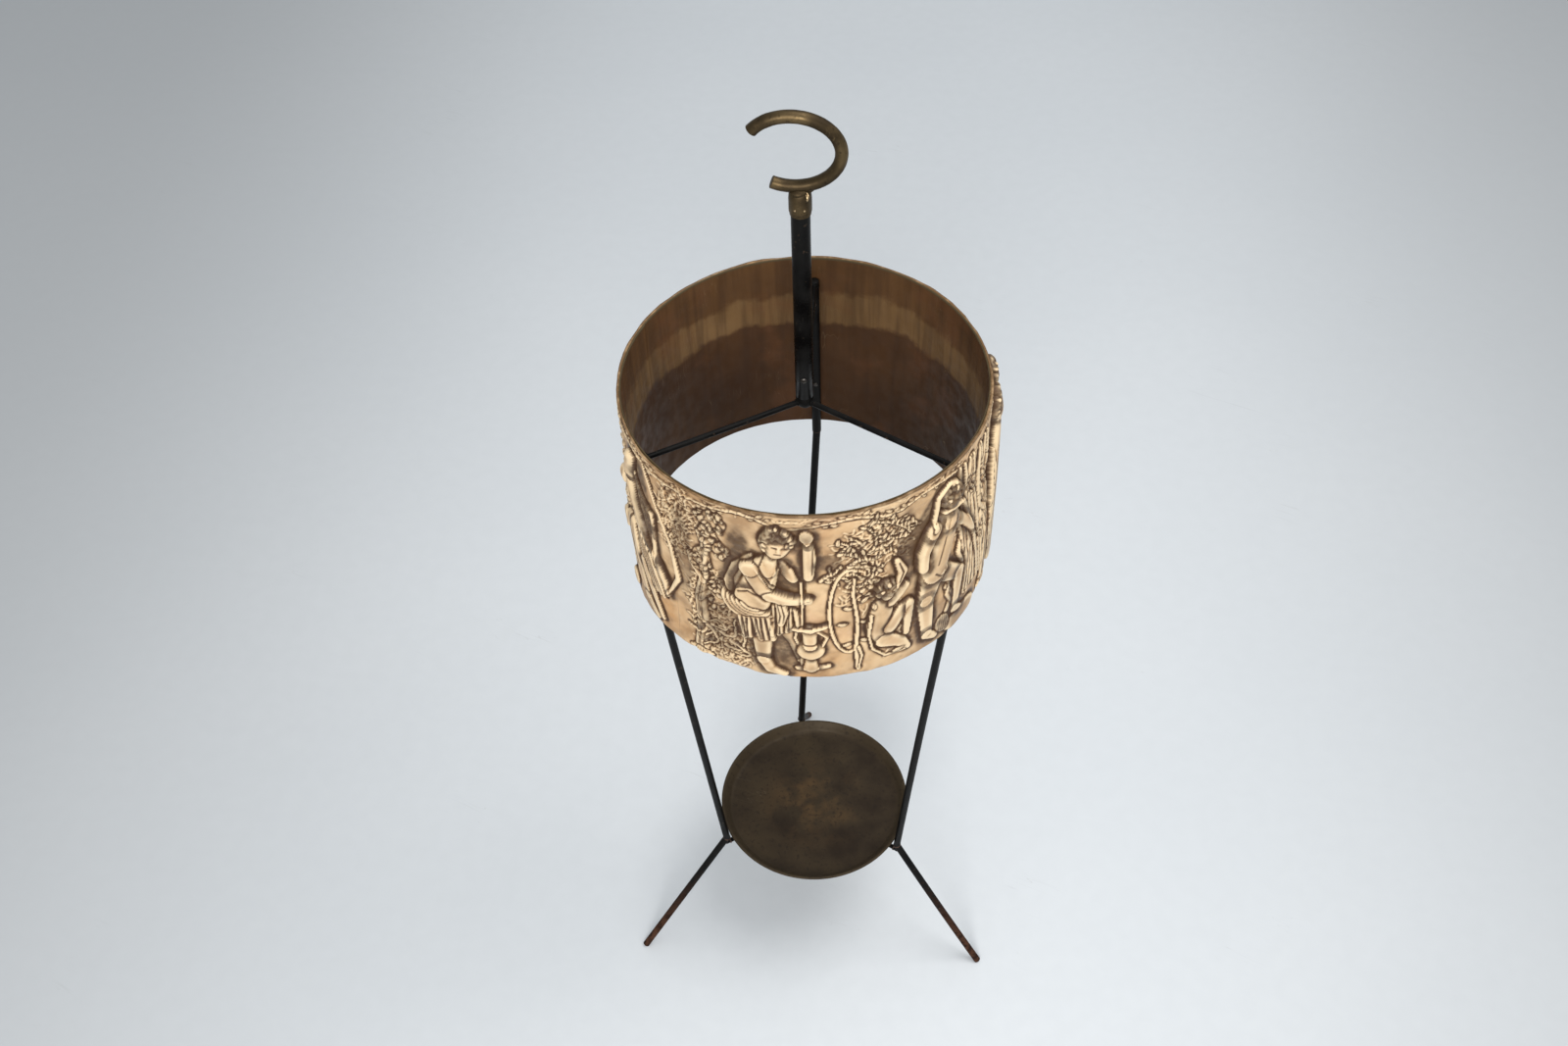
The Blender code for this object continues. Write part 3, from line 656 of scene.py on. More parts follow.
def climber(relief, azimuth):
    """Front right figure: a youth who steps up on a rock and leans on a pole."""
    at = beside(azimuth)
    relief.halo = (2.4, 0.95)
    relief.dome(at((30, 6))[0], 19, 9.5, -6, 3.4, 1.4, 0.9)
    # Painted shade along his back and head
    relief.paint_line(at((6, 150), (-6, 124), (-15, 98)), [4.0, 10.0, 6.0], 1.0)
    relief.halo = (1.2, 0.85)
    for index in range(4):
        top = 30 + 4.5 * index
        relief.bar(
            at((top, 128 - 5 * index), (top + 3, 92), (top + 5 - index, 58), (top + 2, 26)),
            [1.4, 1.9, 1.7, 1.3],
            1.6,
            0.5,
            0.9,
        )
    relief.bar(at((31, 120), (42, 86), (50, 44), (53, 22)), [1.5, 1.8, 1.7, 1.3], 2.2, 1.6, 1.0)
    relief.bar(at((12, 52), (18, 38), (12, 26)), [2.2, 2.8, 2.0], 1.4, 0.2, 0.9)
    relief.bar(at((16, 62), (12, 44), (18, 30)), [1.4, 1.6, 1.2], 1.4, 0.2, 0.9)
    relief.halo = (4.8, 1.0)
    relief.bar(at((22, 112), (34, 98), (42, 84)), [5.0, 4.0, 2.8], 2.6, 1.2, 1.1)
    relief.bar(at((6, 72), (25, 56)), [8.0, 5.6], 4.0, 1.6, 1.1)
    relief.bar(at((25, 56), (23, 36), (21, 20)), [5.6, 4.4, 3.4], 3.8, 1.6, 1.1)
    relief.bar(at((21, 20), (28, 15)), [3.4, 2.6], 2.8, 1.8)
    relief.bar(at((-1, 74), (-7, 52), (-5, 16)), [9.2, 6.6, 4.4], 4.2, 1.4, 1.2)
    relief.bar(at((-5, 15), (2, 9)), [4.4, 3.0], 3.2, 1.0)
    relief.bar(at((14, 113), (8, 94), (1, 78)), [11.5, 9.0, 10.2], 4.6, 1.6, 1.2)
    relief.crease(at((13, 120), (7, 100), (2, 84)), 0.9, 0.55)
    relief.fold(at((6, 118), (10, 108), (20, 108)), 2.6, 0.8)
    relief.crease(at((0, 76), (5, 70), (12, 72)), 0.9, 0.7)
    relief.dome(at((-7, 53))[0], 4.8, 5.0, 0, 3.2, 2.6, 0.1)
    relief.bar(at((0, 116), (-8, 101), (-9, 86)), [5.6, 4.4, 3.4], 2.8, 3.2, 1.3)
    relief.dome(at((0, 117))[0], 6.2, 5.8, 0, 3.0, 3.2, 0.1)
    relief.bar(at((16, 124), (13, 116)), [4.2, 5.4], 3.2, 2.0, 0.3)
    head(relief, at((17, 134))[0], 7.8, -16, 0.8, 61, 2.4)
    relief.bar(at((8, 128), (18, 126), (28, 124)), [1.3, 1.6, 1.1], 1.5, 4.2, 1.0)
    relief.halo = (1.4, 0.9)
    relief.bar(
        at((0, 118), (3, 132), (4, 144), (14, 150), (21, 147)), [2.0, 2.4, 2.2, 2.0, 1.2], 2.0, 1.2, 1.0
    )
    relief.crease(at((3.4, 126), (5.2, 142)), 0.6, 0.7)
    relief.dome(at((9, 16))[0], 6.4, 9.4, 12, 2.8, 1.2, 0.9)
    relief.paint(at((9, 16))[0], 6.2, 9.0, 12, 0.6)
    for index in range(5):
        relief.crease(at((5 + index * 2.2, 8), (6.5 + index * 2.2, 24)), 0.5, 0.7)
    relief.crease(at((16, 16), (26, 13), (36, 15)), 0.9, 1.0)


def small_companion(relief, azimuth):
    """Child who kneels beside the plant, under a fold of cloth."""
    at = beside(azimuth)
    relief.halo = (3.0, 0.95)
    relief.bar(at((-8, 66), (-11, 48), (-6, 30)), [7.5, 8.5, 7.0], 3.0, 0.7, 0.9)
    relief.bar(at((-6, 30), (4, 24), (10, 14)), [7.0, 5.0, 3.0], 2.8, 0.8, 0.9)
    relief.bar(at((-3, 42), (6, 58), (11, 60)), [4.8, 4.4, 3.2], 3.0, 1.8, 1.0)
    relief.bar(at((11, 60), (10, 44), (9, 30)), [3.6, 3.0, 2.2], 2.6, 1.4, 1.0)
    relief.bar(at((-2, 68), (4, 74), (9, 80)), [3.2, 2.8, 2.0], 2.4, 1.8, 1.0)
    head(relief, at((-5, 79))[0], 5.8, -14, 0.8, 71, 1.4)
    relief.bar(at((3, 104), (7, 92), (3, 82)), [2.2, 3.8, 2.0], 2.0, 0.6, 1.0)
    relief.crease(at((4, 102), (7, 92), (4, 84)), 0.7, 0.8)
    relief.halo = (0.9, 0.85)
    relief.bar(at((-16, 60), (-18, 42), (-15, 24), (-6, 13), (8, 12)), 1.0, 1.4, 0.3, 0.9)
    relief.leaf(at((3, 15))[0], 8, 12, 1.0, 2.0)
    relief.leaf(at((-14, 68))[0], 5, 80, 0.9, 0.5)


def cloaked_pair(relief):
    """Left side: a long cloak that sweeps down from a bowed figure."""
    relief.halo = (4.4, 1.0)
    relief.bar(spots((208.5, 146), (206, 128), (207, 108)), [5.0, 6.5, 5.0], 3.6, 1.4, 1.1)
    relief.bar(
        spots((207, 118), (212, 92), (220, 72), (225, 54), (226, 42)),
        [4.8, 4.4, 3.4, 2.4, 1.2],
        3.4,
        1.6,
        1.0,
    )
    for index in range(5):
        start = 210.5 + 1.5 * index
        spine = [
            (start, 134 - 6 * index), (start + 2.5, 110), (start + 8.0 - index, 82),
            (start + 9.5 - 1.4 * index, 50),
        ]
        relief.bar([(across_at(turn), y) for turn, y in spine], [0.8, 1.5, 1.9, 0.9], 1.7, 0.7, 0.8)
    relief.paint_line(spots((212, 136), (216, 112), (221, 90)), [3.0, 4.2, 2.2], 0.95)
    relief.halo = (1.2, 0.9)
    relief.bar(
        spots((217, 154), (221.5, 126), (228, 96), (230.5, 66), (226, 44)),
        [0.8, 1.3, 1.8, 2.2, 1.0],
        1.5,
        0.5,
        0.7,
    )
    for index in range(6):
        start = 209 + 1.7 * index
        relief.bar(
            spots((start, 84 - 3 * index), (start + 4.5, 58 - 2 * index), (start + 6.5, 36)),
            [1.2, 1.9, 1.2],
            1.6,
            1.4,
            1.0,
        )
    relief.halo = (2.6, 0.95)
    relief.bar(spots((205, 76), (209, 44), (214, 16)), [8.0, 6.6, 4.0], 3.6, 1.4, 1.1)
    relief.bar(spots((214, 16), (219, 6)), [4.4, 3.0], 3.0, 1.2, 1.0)
    relief.bar(spots((213, 52), (218, 30), (222, 10)), [4.4, 3.6, 2.4], 2.8, 1.0, 1.1)
    relief.dome((across_at(203), 12), 6.5, 7, 0, 4.0, 1.4)
    relief.dome((across_at(199), 66), 7, 9, 8, 3.8, 1.4)
    relief.dome((across_at(197), 104), 6, 8, 0, 3.4, 1.0)
    relief.crease(spots((207, 100), (205, 70), (209, 40)), 1.0, 1.0)
    relief.crease(spots((210, 96), (210, 66), (214, 34)), 0.9, 1.0)
    relief.halo = (0.9, 0.7)
    for index in range(5):
        x = across_at(195 + 3 * index)
        relief.fold([(x, 128 - 4 * index), (x + 3, 92), (x + 4, 56)], 1.6, 0.9)


def tangled_trees(relief):
    """Right side: trunks and hanging cloth that run up to the rim."""
    random = np.random.default_rng(77)
    relief.halo = (0.9, 0.9)
    for index in range(9):
        top = 325 + 2.4 * index
        points = []
        for step, y in enumerate((154, 128, 100, 74, 48, 22)):
            sway = random.normal(0, 2.4) + 2.5 * math.sin(step * 1.4 + index)
            points.append((across_at(top + 1.1 * step) + sway, y))
        relief.bar(points, [1.2, 1.8, 2.2, 2.0, 1.7, 1.2], 1.9, 0.4 + 0.2 * (index % 3), 0.9)
    relief.foliage((across_at(333), 120), 9, 14, 22, 51)
    relief.foliage((across_at(338), 62), 8, 9, 12, 52, 1.2)


def shepherd(relief):
    """Right edge: a tall figure whose head stands out beside the rim."""
    relief.halo = (2.6, 0.95)
    relief.bar(spots((363, 132), (357, 96), (354, 58), (352, 16)), [10.0, 11.0, 10.0, 7.5], 4.8, 3.8, 1.0)
    relief.bar(spots((369, 138), (365, 120), (362, 100)), [4.6, 4.0, 3.0], 4.0, 4.2, 1.1)
    head(relief, (across_at(10.5), 149), 7.6, 8, -0.6, 91, 4.0)
    head(relief, (across_at(360.5), 140), 9.6, 8, -0.6, 93, 4.6)
    relief.dome((across_at(356), 66), 7.4, 9.0, 0, 4.2, 4.2, 0.8)
    relief.halo = (0.9, 0.85)
    for index in range(6):
        x = across_at(349.5 + 2.2 * index)
        sway = 1.5 * math.sin(1.9 * index)
        folds = [
            (x + 6 - sway, 118 - 5 * index), (x + 1 + sway, 84), (x - 4 - sway, 50),
            (x - 2 + sway, 14 + 3 * index),
        ]
        relief.bar(folds, [0.7, 1.7, 1.5, 0.9], 1.5, 5.0, 0.6)
    tree(relief, 345.5, -2, 116, 54, (10, 14, 20))


def draw_relief():
    """Country scenes in a frieze: figures with jars, trees and creepers over a tangled ground."""
    relief = Relief()
    relief.level += 0.34 * rough(11, 21) + 0.20 * rough(4, 22) + 0.09 * rough(1.6, 24)
    borders(relief)
    for azimuth, y, half_x, half_y, count, seed in (
        (229, 118, 14, 28, 170, 1), (242, 52, 16, 44, 300, 2), (250, 18, 18, 14, 90, 3), (
            234, 140, 16, 14, 90, 4
        ),
        (295, 126, 26, 22, 150, 5), (290, 92, 16, 24, 70, 6), (332, 80, 16, 60, 220, 7), (
            350, 70, 16, 56, 170, 8
        ),
        (24, 80, 20, 60, 240, 9), (54, 70, 18, 54, 190, 10), (84, 110, 22, 34, 160, 11), (
            118, 70, 20, 56, 220, 12
        ),
        (146, 100, 18, 40, 150, 13), (173, 66, 18, 54, 200, 14), (198, 90, 18, 50, 190, 15), (
            300, 40, 10, 26, 50, 16
        ),
    ):
        relief.scribble((across_at(azimuth), y), half_x, half_y, round(1.35 * count), seed, 0.72)

    # Front left: a gnarled tree over roots
    relief.halo = (1.0, 0.85)
    tree(relief, 238.5, 6, 120, 31)
    for x, y, wide, tall, count, seed in (
        (244.5, 142, 12, 9, 18, 35), (243, 124, 9, 13, 20, 36), (247, 116, 6, 8, 9, 37),
        (240, 100, 8, 12, 14, 38), (241, 27, 11, 12, 22, 39), (245, 72, 8, 18, 18, 40),
    ):
        relief.foliage((across_at(x), y), wide, tall, count, seed)
    relief.paint((across_at(241), 27), 9, 10, 0, 0.6)
    relief.paint((across_at(241), 62), 7, 16, 0, 0.55)
    random = np.random.default_rng(9)
    for start in range(9):
        root = relief.wandering(
            (across_at(236 + 1.6 * start), 16 + random.uniform(0, 30)), -0.5, 30, 0.22, random
        )
        relief.bar(root, np.linspace(1.4, 0.6, len(root)), 1.1, 0.2, 0.9)

    for x, y, wide, tall, strength in (
        (213, 120, 9, 30, 0.75), (216, 30, 12, 22, 0.6), (233, 100, 8, 44, 0.5), (247, 40, 14, 26, 0.5),
        (253, 118, 9, 26, 0.7), (270, 140, 8, 12, 0.8), (305, 110, 8, 34, 0.75), (335, 90, 9, 50, 0.7), (
            347, 90, 8, 60, 0.7
        ),
    ):
        relief.paint((across_at(x), y), wide, tall, 0, strength)
    water_girl(relief, 264.0)
    urn(relief, 274.3)

    # Front: branches, a hoop of creeper and a small plant
    relief.halo = (0.85, 0.95)
    branch(relief, 277.5, 100, ((8, 30), (52, 14)), 45, 1.3)
    branch(relief, 283.0, 124, ((62, 22), (28, 30)), 41, 1.5)
    branch(relief, 286.0, 110, ((38, 34), (14, 50)), 42, 1.5)
    branch(relief, 296.0, 128, ((24, 30), (-10, 22)), 43, 1.2)
    branch(relief, 290.0, 146, ((8, 44), (-14, 20)), 46, 1.1)
    relief.paint((across_at(279.5), 117), 10, 8, 0, 0.6)
    relief.foliage((across_at(293.5), 84), 8.5, 9, 16, 44, 0.3)
    hoop = []
    for step in range(15):
        turn = math.radians(70 + step * 15.5)
        hoop.append((across_at(286.2) + 13.5 * math.cos(turn), 67 + 41 * math.sin(turn)))
    relief.bar(hoop, 1.15, 1.5, 0.3, 1.0)
    relief.bar(
        spots((288.8, 6), (288.0, 30), (288.6, 56), (287.2, 84), (287.8, 98)),
        [1.7, 1.5, 1.3, 1.2, 0.9],
        1.6,
        0.3,
        1.0,
    )
    relief.bar(spots((288.8, 30), (289.8, 20), (289.0, 8)), [1.1, 1.0, 0.7], 1.3, 0.2, 1.0)
    for turn, x, y in ((178, -9, 55), (4, 6, 55), (160, -5, 70), (35, 6, 76), (200, -6, 34), (-20, 6, 36)):
        relief.leaf((across_at(288) + x, y), 6.4, turn, 1.0, 0.4)

    small_companion(relief, 300.0)
    tangled_trees(relief)
    climber(relief, 314.0)
    shepherd(relief)
    cloaked_pair(relief)

    # Back: a dance, a seated piper and a goat under the trees
    relief.halo = (2.6, 0.9)
    person(relief, 38.0, DANCER, "tunic", 1, 13, 8.4, 0.6, 5, True)
    tree(relief, 62.0, 6, 118, 61, (17, 19, 34))
    person(relief, 84.0, SEATED, "tunic", 1, 15, 8.2, 0.6, -4)
    relief.bar([(across_at(84) + 10, 84), (across_at(84) + 27, 72)], [1.2, 1.7], 1.6, 4.4)
    relief.dome((across_at(84) - 6, 24), 17, 15, 0, 2.0, 0.5)
    person(relief, 112.0, DANCER, "robe", -1, 17, 8.4, 0.5, -6)
    tree(relief, 133.0, -5, 112, 63, (16, 20, 32))
    vase(relief, 125.0, 7, 34, 15)
    person(relief, 158.0, CARRIER, "robe", -1, 19, 8.8, 0.6, 8, True)
    relief.dome((across_at(146), 52), 13, 8, 5, 3.2, 0.8)
    for shift in (-9, -5, 6, 10):
        relief.bar(
            [
                (across_at(146) + shift, 48),
                (across_at(146) + shift * 1.1, 30),
                (across_at(146) + shift, 12),
            ],
            [2.4, 1.7, 1.5],
            1.8,
            0.5,
        )
    relief.bar(
        [(across_at(146) - 11, 55), (across_at(146) - 17, 66), (across_at(146) - 22, 63)],
        [3.8, 3.0, 1.8],
        2.4,
        1.0,
    )
    relief.bar([(across_at(146) - 17, 68), (across_at(146) - 13, 76)], [1.1, 0.7], 1.4, 1.2)
    tree(relief, 180.0, 4, 122, 65, (17, 18, 34))
    person(relief, 21.0, SEATED, "robe", -1, 21, 8.0, 0.6, 4)
    return relief


def shape_ground(relief):
    """Wear the drawing, add the swell of the ground and keep it under the frame's outline."""
    level = relief.level
    level = 0.62 * level + 0.38 * soften(level, 0.9)
    level += 0.06 * rough(0.9, 23)
    edge = smooth_step((TALL - relief.y) / 6.0) * smooth_step(0.5 + relief.y / 8.0)
    level = np.maximum(level, -0.75) * (0.30 + 0.70 * edge)
    level += 0.5 * (1 - smooth_step((TALL - relief.y) / 2.2))
    azimuth = relief.x / GIRTH * 360
    swell = np.full(azimuth.shape, LEAST_SWELL)
    for middle, wide, height in SWELLS:
        away = (azimuth - middle + 180) % 360 - 180
        swell += height * np.exp(-((away / wide) ** 2))
    level += swell * smooth_step(1.3 - 1.8 * relief.y / TALL)
    away = (azimuth - 358 + 180) % 360 - 180
    limit = MOST_RISE + 2.9 * np.exp(-((away / 13) ** 2))
    limit += 1.4 * np.exp(-(((azimuth - 317) / 12) ** 2))
    over = np.maximum(level - (limit - RISE_EASE), 0)
    return np.where(over > 0, limit - RISE_EASE * np.exp(-over / RISE_EASE), level)


# ---------------------------------------------------------------- node helpers


def node(tree, kind, **settings):
    item = tree.nodes.new(kind)
    for name, value in settings.items():
        setattr(item, name, value)
    return item


def arrange(tree):
    """Set the nodes out in columns, by how many links lie between each and the end."""
    column = {item.name: 0 for item in tree.nodes}
    for _ in tree.nodes:
        for link in tree.links:
            behind = column[link.to_node.name] + 1
            column[link.from_node.name] = max(column[link.from_node.name], behind)
    taken = {}
    for item in tree.nodes:
        row = taken.get(column[item.name], 0)
        item.location = (-240 * column[item.name], -260 * row)
        taken[column[item.name]] = row + 1


def wire(tree, source, target):
    tree.links.new(source, target)


def new_group(name, inputs, outputs):
    """Shader node group with its two end nodes. Each socket is (name, type, value)."""
    tree = bpy.data.node_groups.new(name, "ShaderNodeTree")
    for title, kind, value in inputs:
        socket = tree.interface.new_socket(title, in_out="INPUT", socket_type=kind)
        if value is not None:
            socket.default_value = value
    for title, kind in outputs:
        tree.interface.new_socket(title, in_out="OUTPUT", socket_type=kind)
    return tree, node(tree, "NodeGroupInput"), node(tree, "NodeGroupOutput")


def use_group(tree, place, group, **values):
    item = node(tree, "ShaderNodeGroup", node_tree=group)
    wire(tree, place, item.inputs["Vector"])
    for name, value in values.items():
        item.inputs[name.replace("_", " ")].default_value = value
    return item


def mix_colours(tree, factor, first, second):
    """Colour mix. First and second are colours or sockets."""
    item = node(tree, "ShaderNodeMix", data_type="RGBA")
    for socket, value in ((item.inputs[0], factor), (item.inputs[6], first), (item.inputs[7], second)):
        if isinstance(value, bpy.types.NodeSocket):
            wire(tree, value, socket)
        elif isinstance(value, tuple):
            socket.default_value = (*value, 1)
        else:
            socket.default_value = value
    return item.outputs[2]


def calculate(tree, operation, first, second=None, clamp=False):
    item = node(tree, "ShaderNodeMath", operation=operation, use_clamp=clamp)
    for socket, value in zip(item.inputs, (first, second)):
        if isinstance(value, bpy.types.NodeSocket):
            wire(tree, value, socket)
        elif value is not None:
            socket.default_value = value
    return item.outputs[0]


def spread(tree, value, low, high, to_low=0.0, to_high=1.0):
    """Smooth map of a value from one span to another."""
    item = node(tree, "ShaderNodeMapRange", interpolation_type="SMOOTHSTEP")
    wire(tree, value, item.inputs[0])
    for socket, number in zip(item.inputs[1:5], (low, high, to_low, to_high)):
        socket.default_value = number
    return item.outputs[0]


def mottle_group():
    """Cloudy patches from 0 to 1."""
    tree, start, end = new_group(
        "cloudy_patches",
        (
            ("Vector", "NodeSocketVector", None),
            ("Scale", "NodeSocketFloat", 20.0),
            ("Detail", "NodeSocketFloat", 4.0),
            ("Softness", "NodeSocketFloat", 0.25),
            ("Middle", "NodeSocketFloat", 0.5),
        ),
        (("Mask", "NodeSocketFloat"),),
    )
    noise = node(tree, "ShaderNodeTexNoise")
    wire(tree, start.outputs["Vector"], noise.inputs["Vector"])
    wire(tree, start.outputs["Scale"], noise.inputs["Scale"])
    wire(tree, start.outputs["Detail"], noise.inputs["Detail"])
    low = calculate(tree, "SUBTRACT", start.outputs["Middle"], start.outputs["Softness"])
    high = calculate(tree, "ADD", start.outputs["Middle"], start.outputs["Softness"])
    span = node(tree, "ShaderNodeMapRange", interpolation_type="SMOOTHSTEP")
    wire(tree, noise.outputs[0], span.inputs[0])
    wire(tree, low, span.inputs[1])
    wire(tree, high, span.inputs[2])
    wire(tree, span.outputs[0], end.inputs[0])
    return tree


def scratch_group():
    """Fine broken lines that run one way."""
    tree, start, end = new_group(
        "fine_scratches",
        (
            ("Vector", "NodeSocketVector", None),
            ("Scale", "NodeSocketFloat", 30.0),
            ("Stretch", "NodeSocketVector", (1.0, 14.0, 1.0)),
            ("Turn", "NodeSocketVector", (0.0, 0.0, 0.4)),
            ("Width", "NodeSocketFloat", 0.012),
            ("Amount", "NodeSocketFloat", 0.55),
        ),
        (("Mask", "NodeSocketFloat"),),
    )
    rotate = node(tree, "ShaderNodeVectorRotate", rotation_type="EULER_XYZ")
    wire(tree, start.outputs["Vector"], rotate.inputs["Vector"])
    wire(tree, start.outputs["Turn"], rotate.inputs["Rotation"])
    stretch = node(tree, "ShaderNodeVectorMath", operation="MULTIPLY")
    wire(tree, rotate.outputs[0], stretch.inputs[0])
    wire(tree, start.outputs["Stretch"], stretch.inputs[1])
    noise = node(tree, "ShaderNodeTexNoise")
    noise.inputs["Detail"].default_value = 1.0
    wire(tree, stretch.outputs[0], noise.inputs["Vector"])
    wire(tree, start.outputs["Scale"], noise.inputs["Scale"])
    middle = calculate(tree, "SUBTRACT", noise.outputs[0], 0.5)
    away = calculate(tree, "ABSOLUTE", middle)
    line = node(tree, "ShaderNodeMapRange")
    wire(tree, away, line.inputs[0])
    wire(tree, start.outputs["Width"], line.inputs[2])
    line.inputs[3].default_value = 1.0
    line.inputs[4].default_value = 0.0
    broken = node(tree, "ShaderNodeTexNoise")
    wire(tree, start.outputs["Vector"], broken.inputs["Vector"])
    wire(tree, start.outputs["Scale"], broken.inputs["Scale"])
    kept = node(tree, "ShaderNodeMapRange")
    wire(tree, broken.outputs[0], kept.inputs[0])
    wire(tree, start.outputs["Amount"], kept.inputs[1])
    kept.inputs[2].default_value = 0.75
    both = calculate(tree, "MULTIPLY", line.outputs[0], kept.outputs[0], True)
    wire(tree, both, end.inputs[0])
    return tree


def grain_group():
    """Height for a bump: pits and grain of two sizes."""
    tree, start, end = new_group(
        "pits_and_grain",
        (
            ("Vector", "NodeSocketVector", None),
            ("Fine", "NodeSocketFloat", 900.0),
            ("Coarse", "NodeSocketFloat", 120.0),
            ("Pits", "NodeSocketFloat", 0.4),
        ),
        (("Height", "NodeSocketFloat"),),
    )
    fine = node(tree, "ShaderNodeTexNoise")
    coarse = node(tree, "ShaderNodeTexNoise")
    pits = node(tree, "ShaderNodeTexVoronoi", feature="F1")
    for item, name in ((fine, "Fine"), (coarse, "Coarse"), (pits, "Coarse")):
        wire(tree, start.outputs["Vector"], item.inputs["Vector"])
        wire(tree, start.outputs[name], item.inputs["Scale"])
    fine.inputs["Detail"].default_value = 3.0
    coarse.inputs["Detail"].default_value = 4.0
    hole = spread(tree, pits.outputs["Distance"], 0.0, 0.28, -1.0, 0.0)
    hole = calculate(tree, "MULTIPLY", hole, start.outputs["Pits"])
    small = calculate(tree, "MULTIPLY", fine.outputs[0], 0.35)
    total = calculate(tree, "ADD", small, coarse.outputs[0])
    total = calculate(tree, "ADD", total, hole)
    wire(tree, total, end.inputs[0])
    return tree


def rust_group():
    """Rust that creeps up from the floor: its mask and its speckle."""
    tree, start, end = new_group(
        "creeping_rust",
        (
            ("Vector", "NodeSocketVector", None),
            ("Reach", "NodeSocketFloat", 0.05),
            ("Speckle", "NodeSocketFloat", 220.0),
        ),
        (("Mask", "NodeSocketFloat"), ("Tone", "NodeSocketFloat")),
    )
    split = node(tree, "ShaderNodeSeparateXYZ")
    wire(tree, start.outputs["Vector"], split.inputs[0])
    share = calculate(tree, "DIVIDE", split.outputs["Z"], start.outputs["Reach"])
    noise = node(tree, "ShaderNodeTexNoise")
    wire(tree, start.outputs["Vector"], noise.inputs["Vector"])
    wire(tree, start.outputs["Speckle"], noise.inputs["Scale"])
    noise.inputs["Detail"].default_value = 5.0
    ragged = calculate(tree, "MULTIPLY_ADD", noise.outputs[0], 1.6)
    ragged.node.inputs[2].default_value = -0.8
    total = calculate(tree, "ADD", share, ragged)
    mask = spread(tree, total, 0.35, 1.05, 1.0, 0.0)
    wire(tree, mask, end.inputs["Mask"])
    wire(tree, noise.outputs[0], end.inputs["Tone"])
    return tree


def new_material(name, roughness, metallic, **shader_values):
    material = bpy.data.materials.new(name)
    material.use_nodes = True
    tree = material.node_tree
    shader = tree.nodes["Principled BSDF"]
    shader.inputs["Roughness"].default_value = roughness
    shader.inputs["Metallic"].default_value = metallic
    for socket, value in shader_values.items():
        shader.inputs[socket.replace("_", " ")].default_value = value
    place = node(tree, "ShaderNodeTexCoord").outputs["Object"]
    return material, tree, shader, place


def add_bump(tree, shader, height, strength, distance):
    bump = node(tree, "ShaderNodeBump")
    bump.inputs["Strength"].default_value = strength
    bump.inputs["Distance"].default_value = distance
    wire(tree, height, bump.inputs["Height"])
    wire(tree, bump.outputs[0], shader.inputs["Normal"])


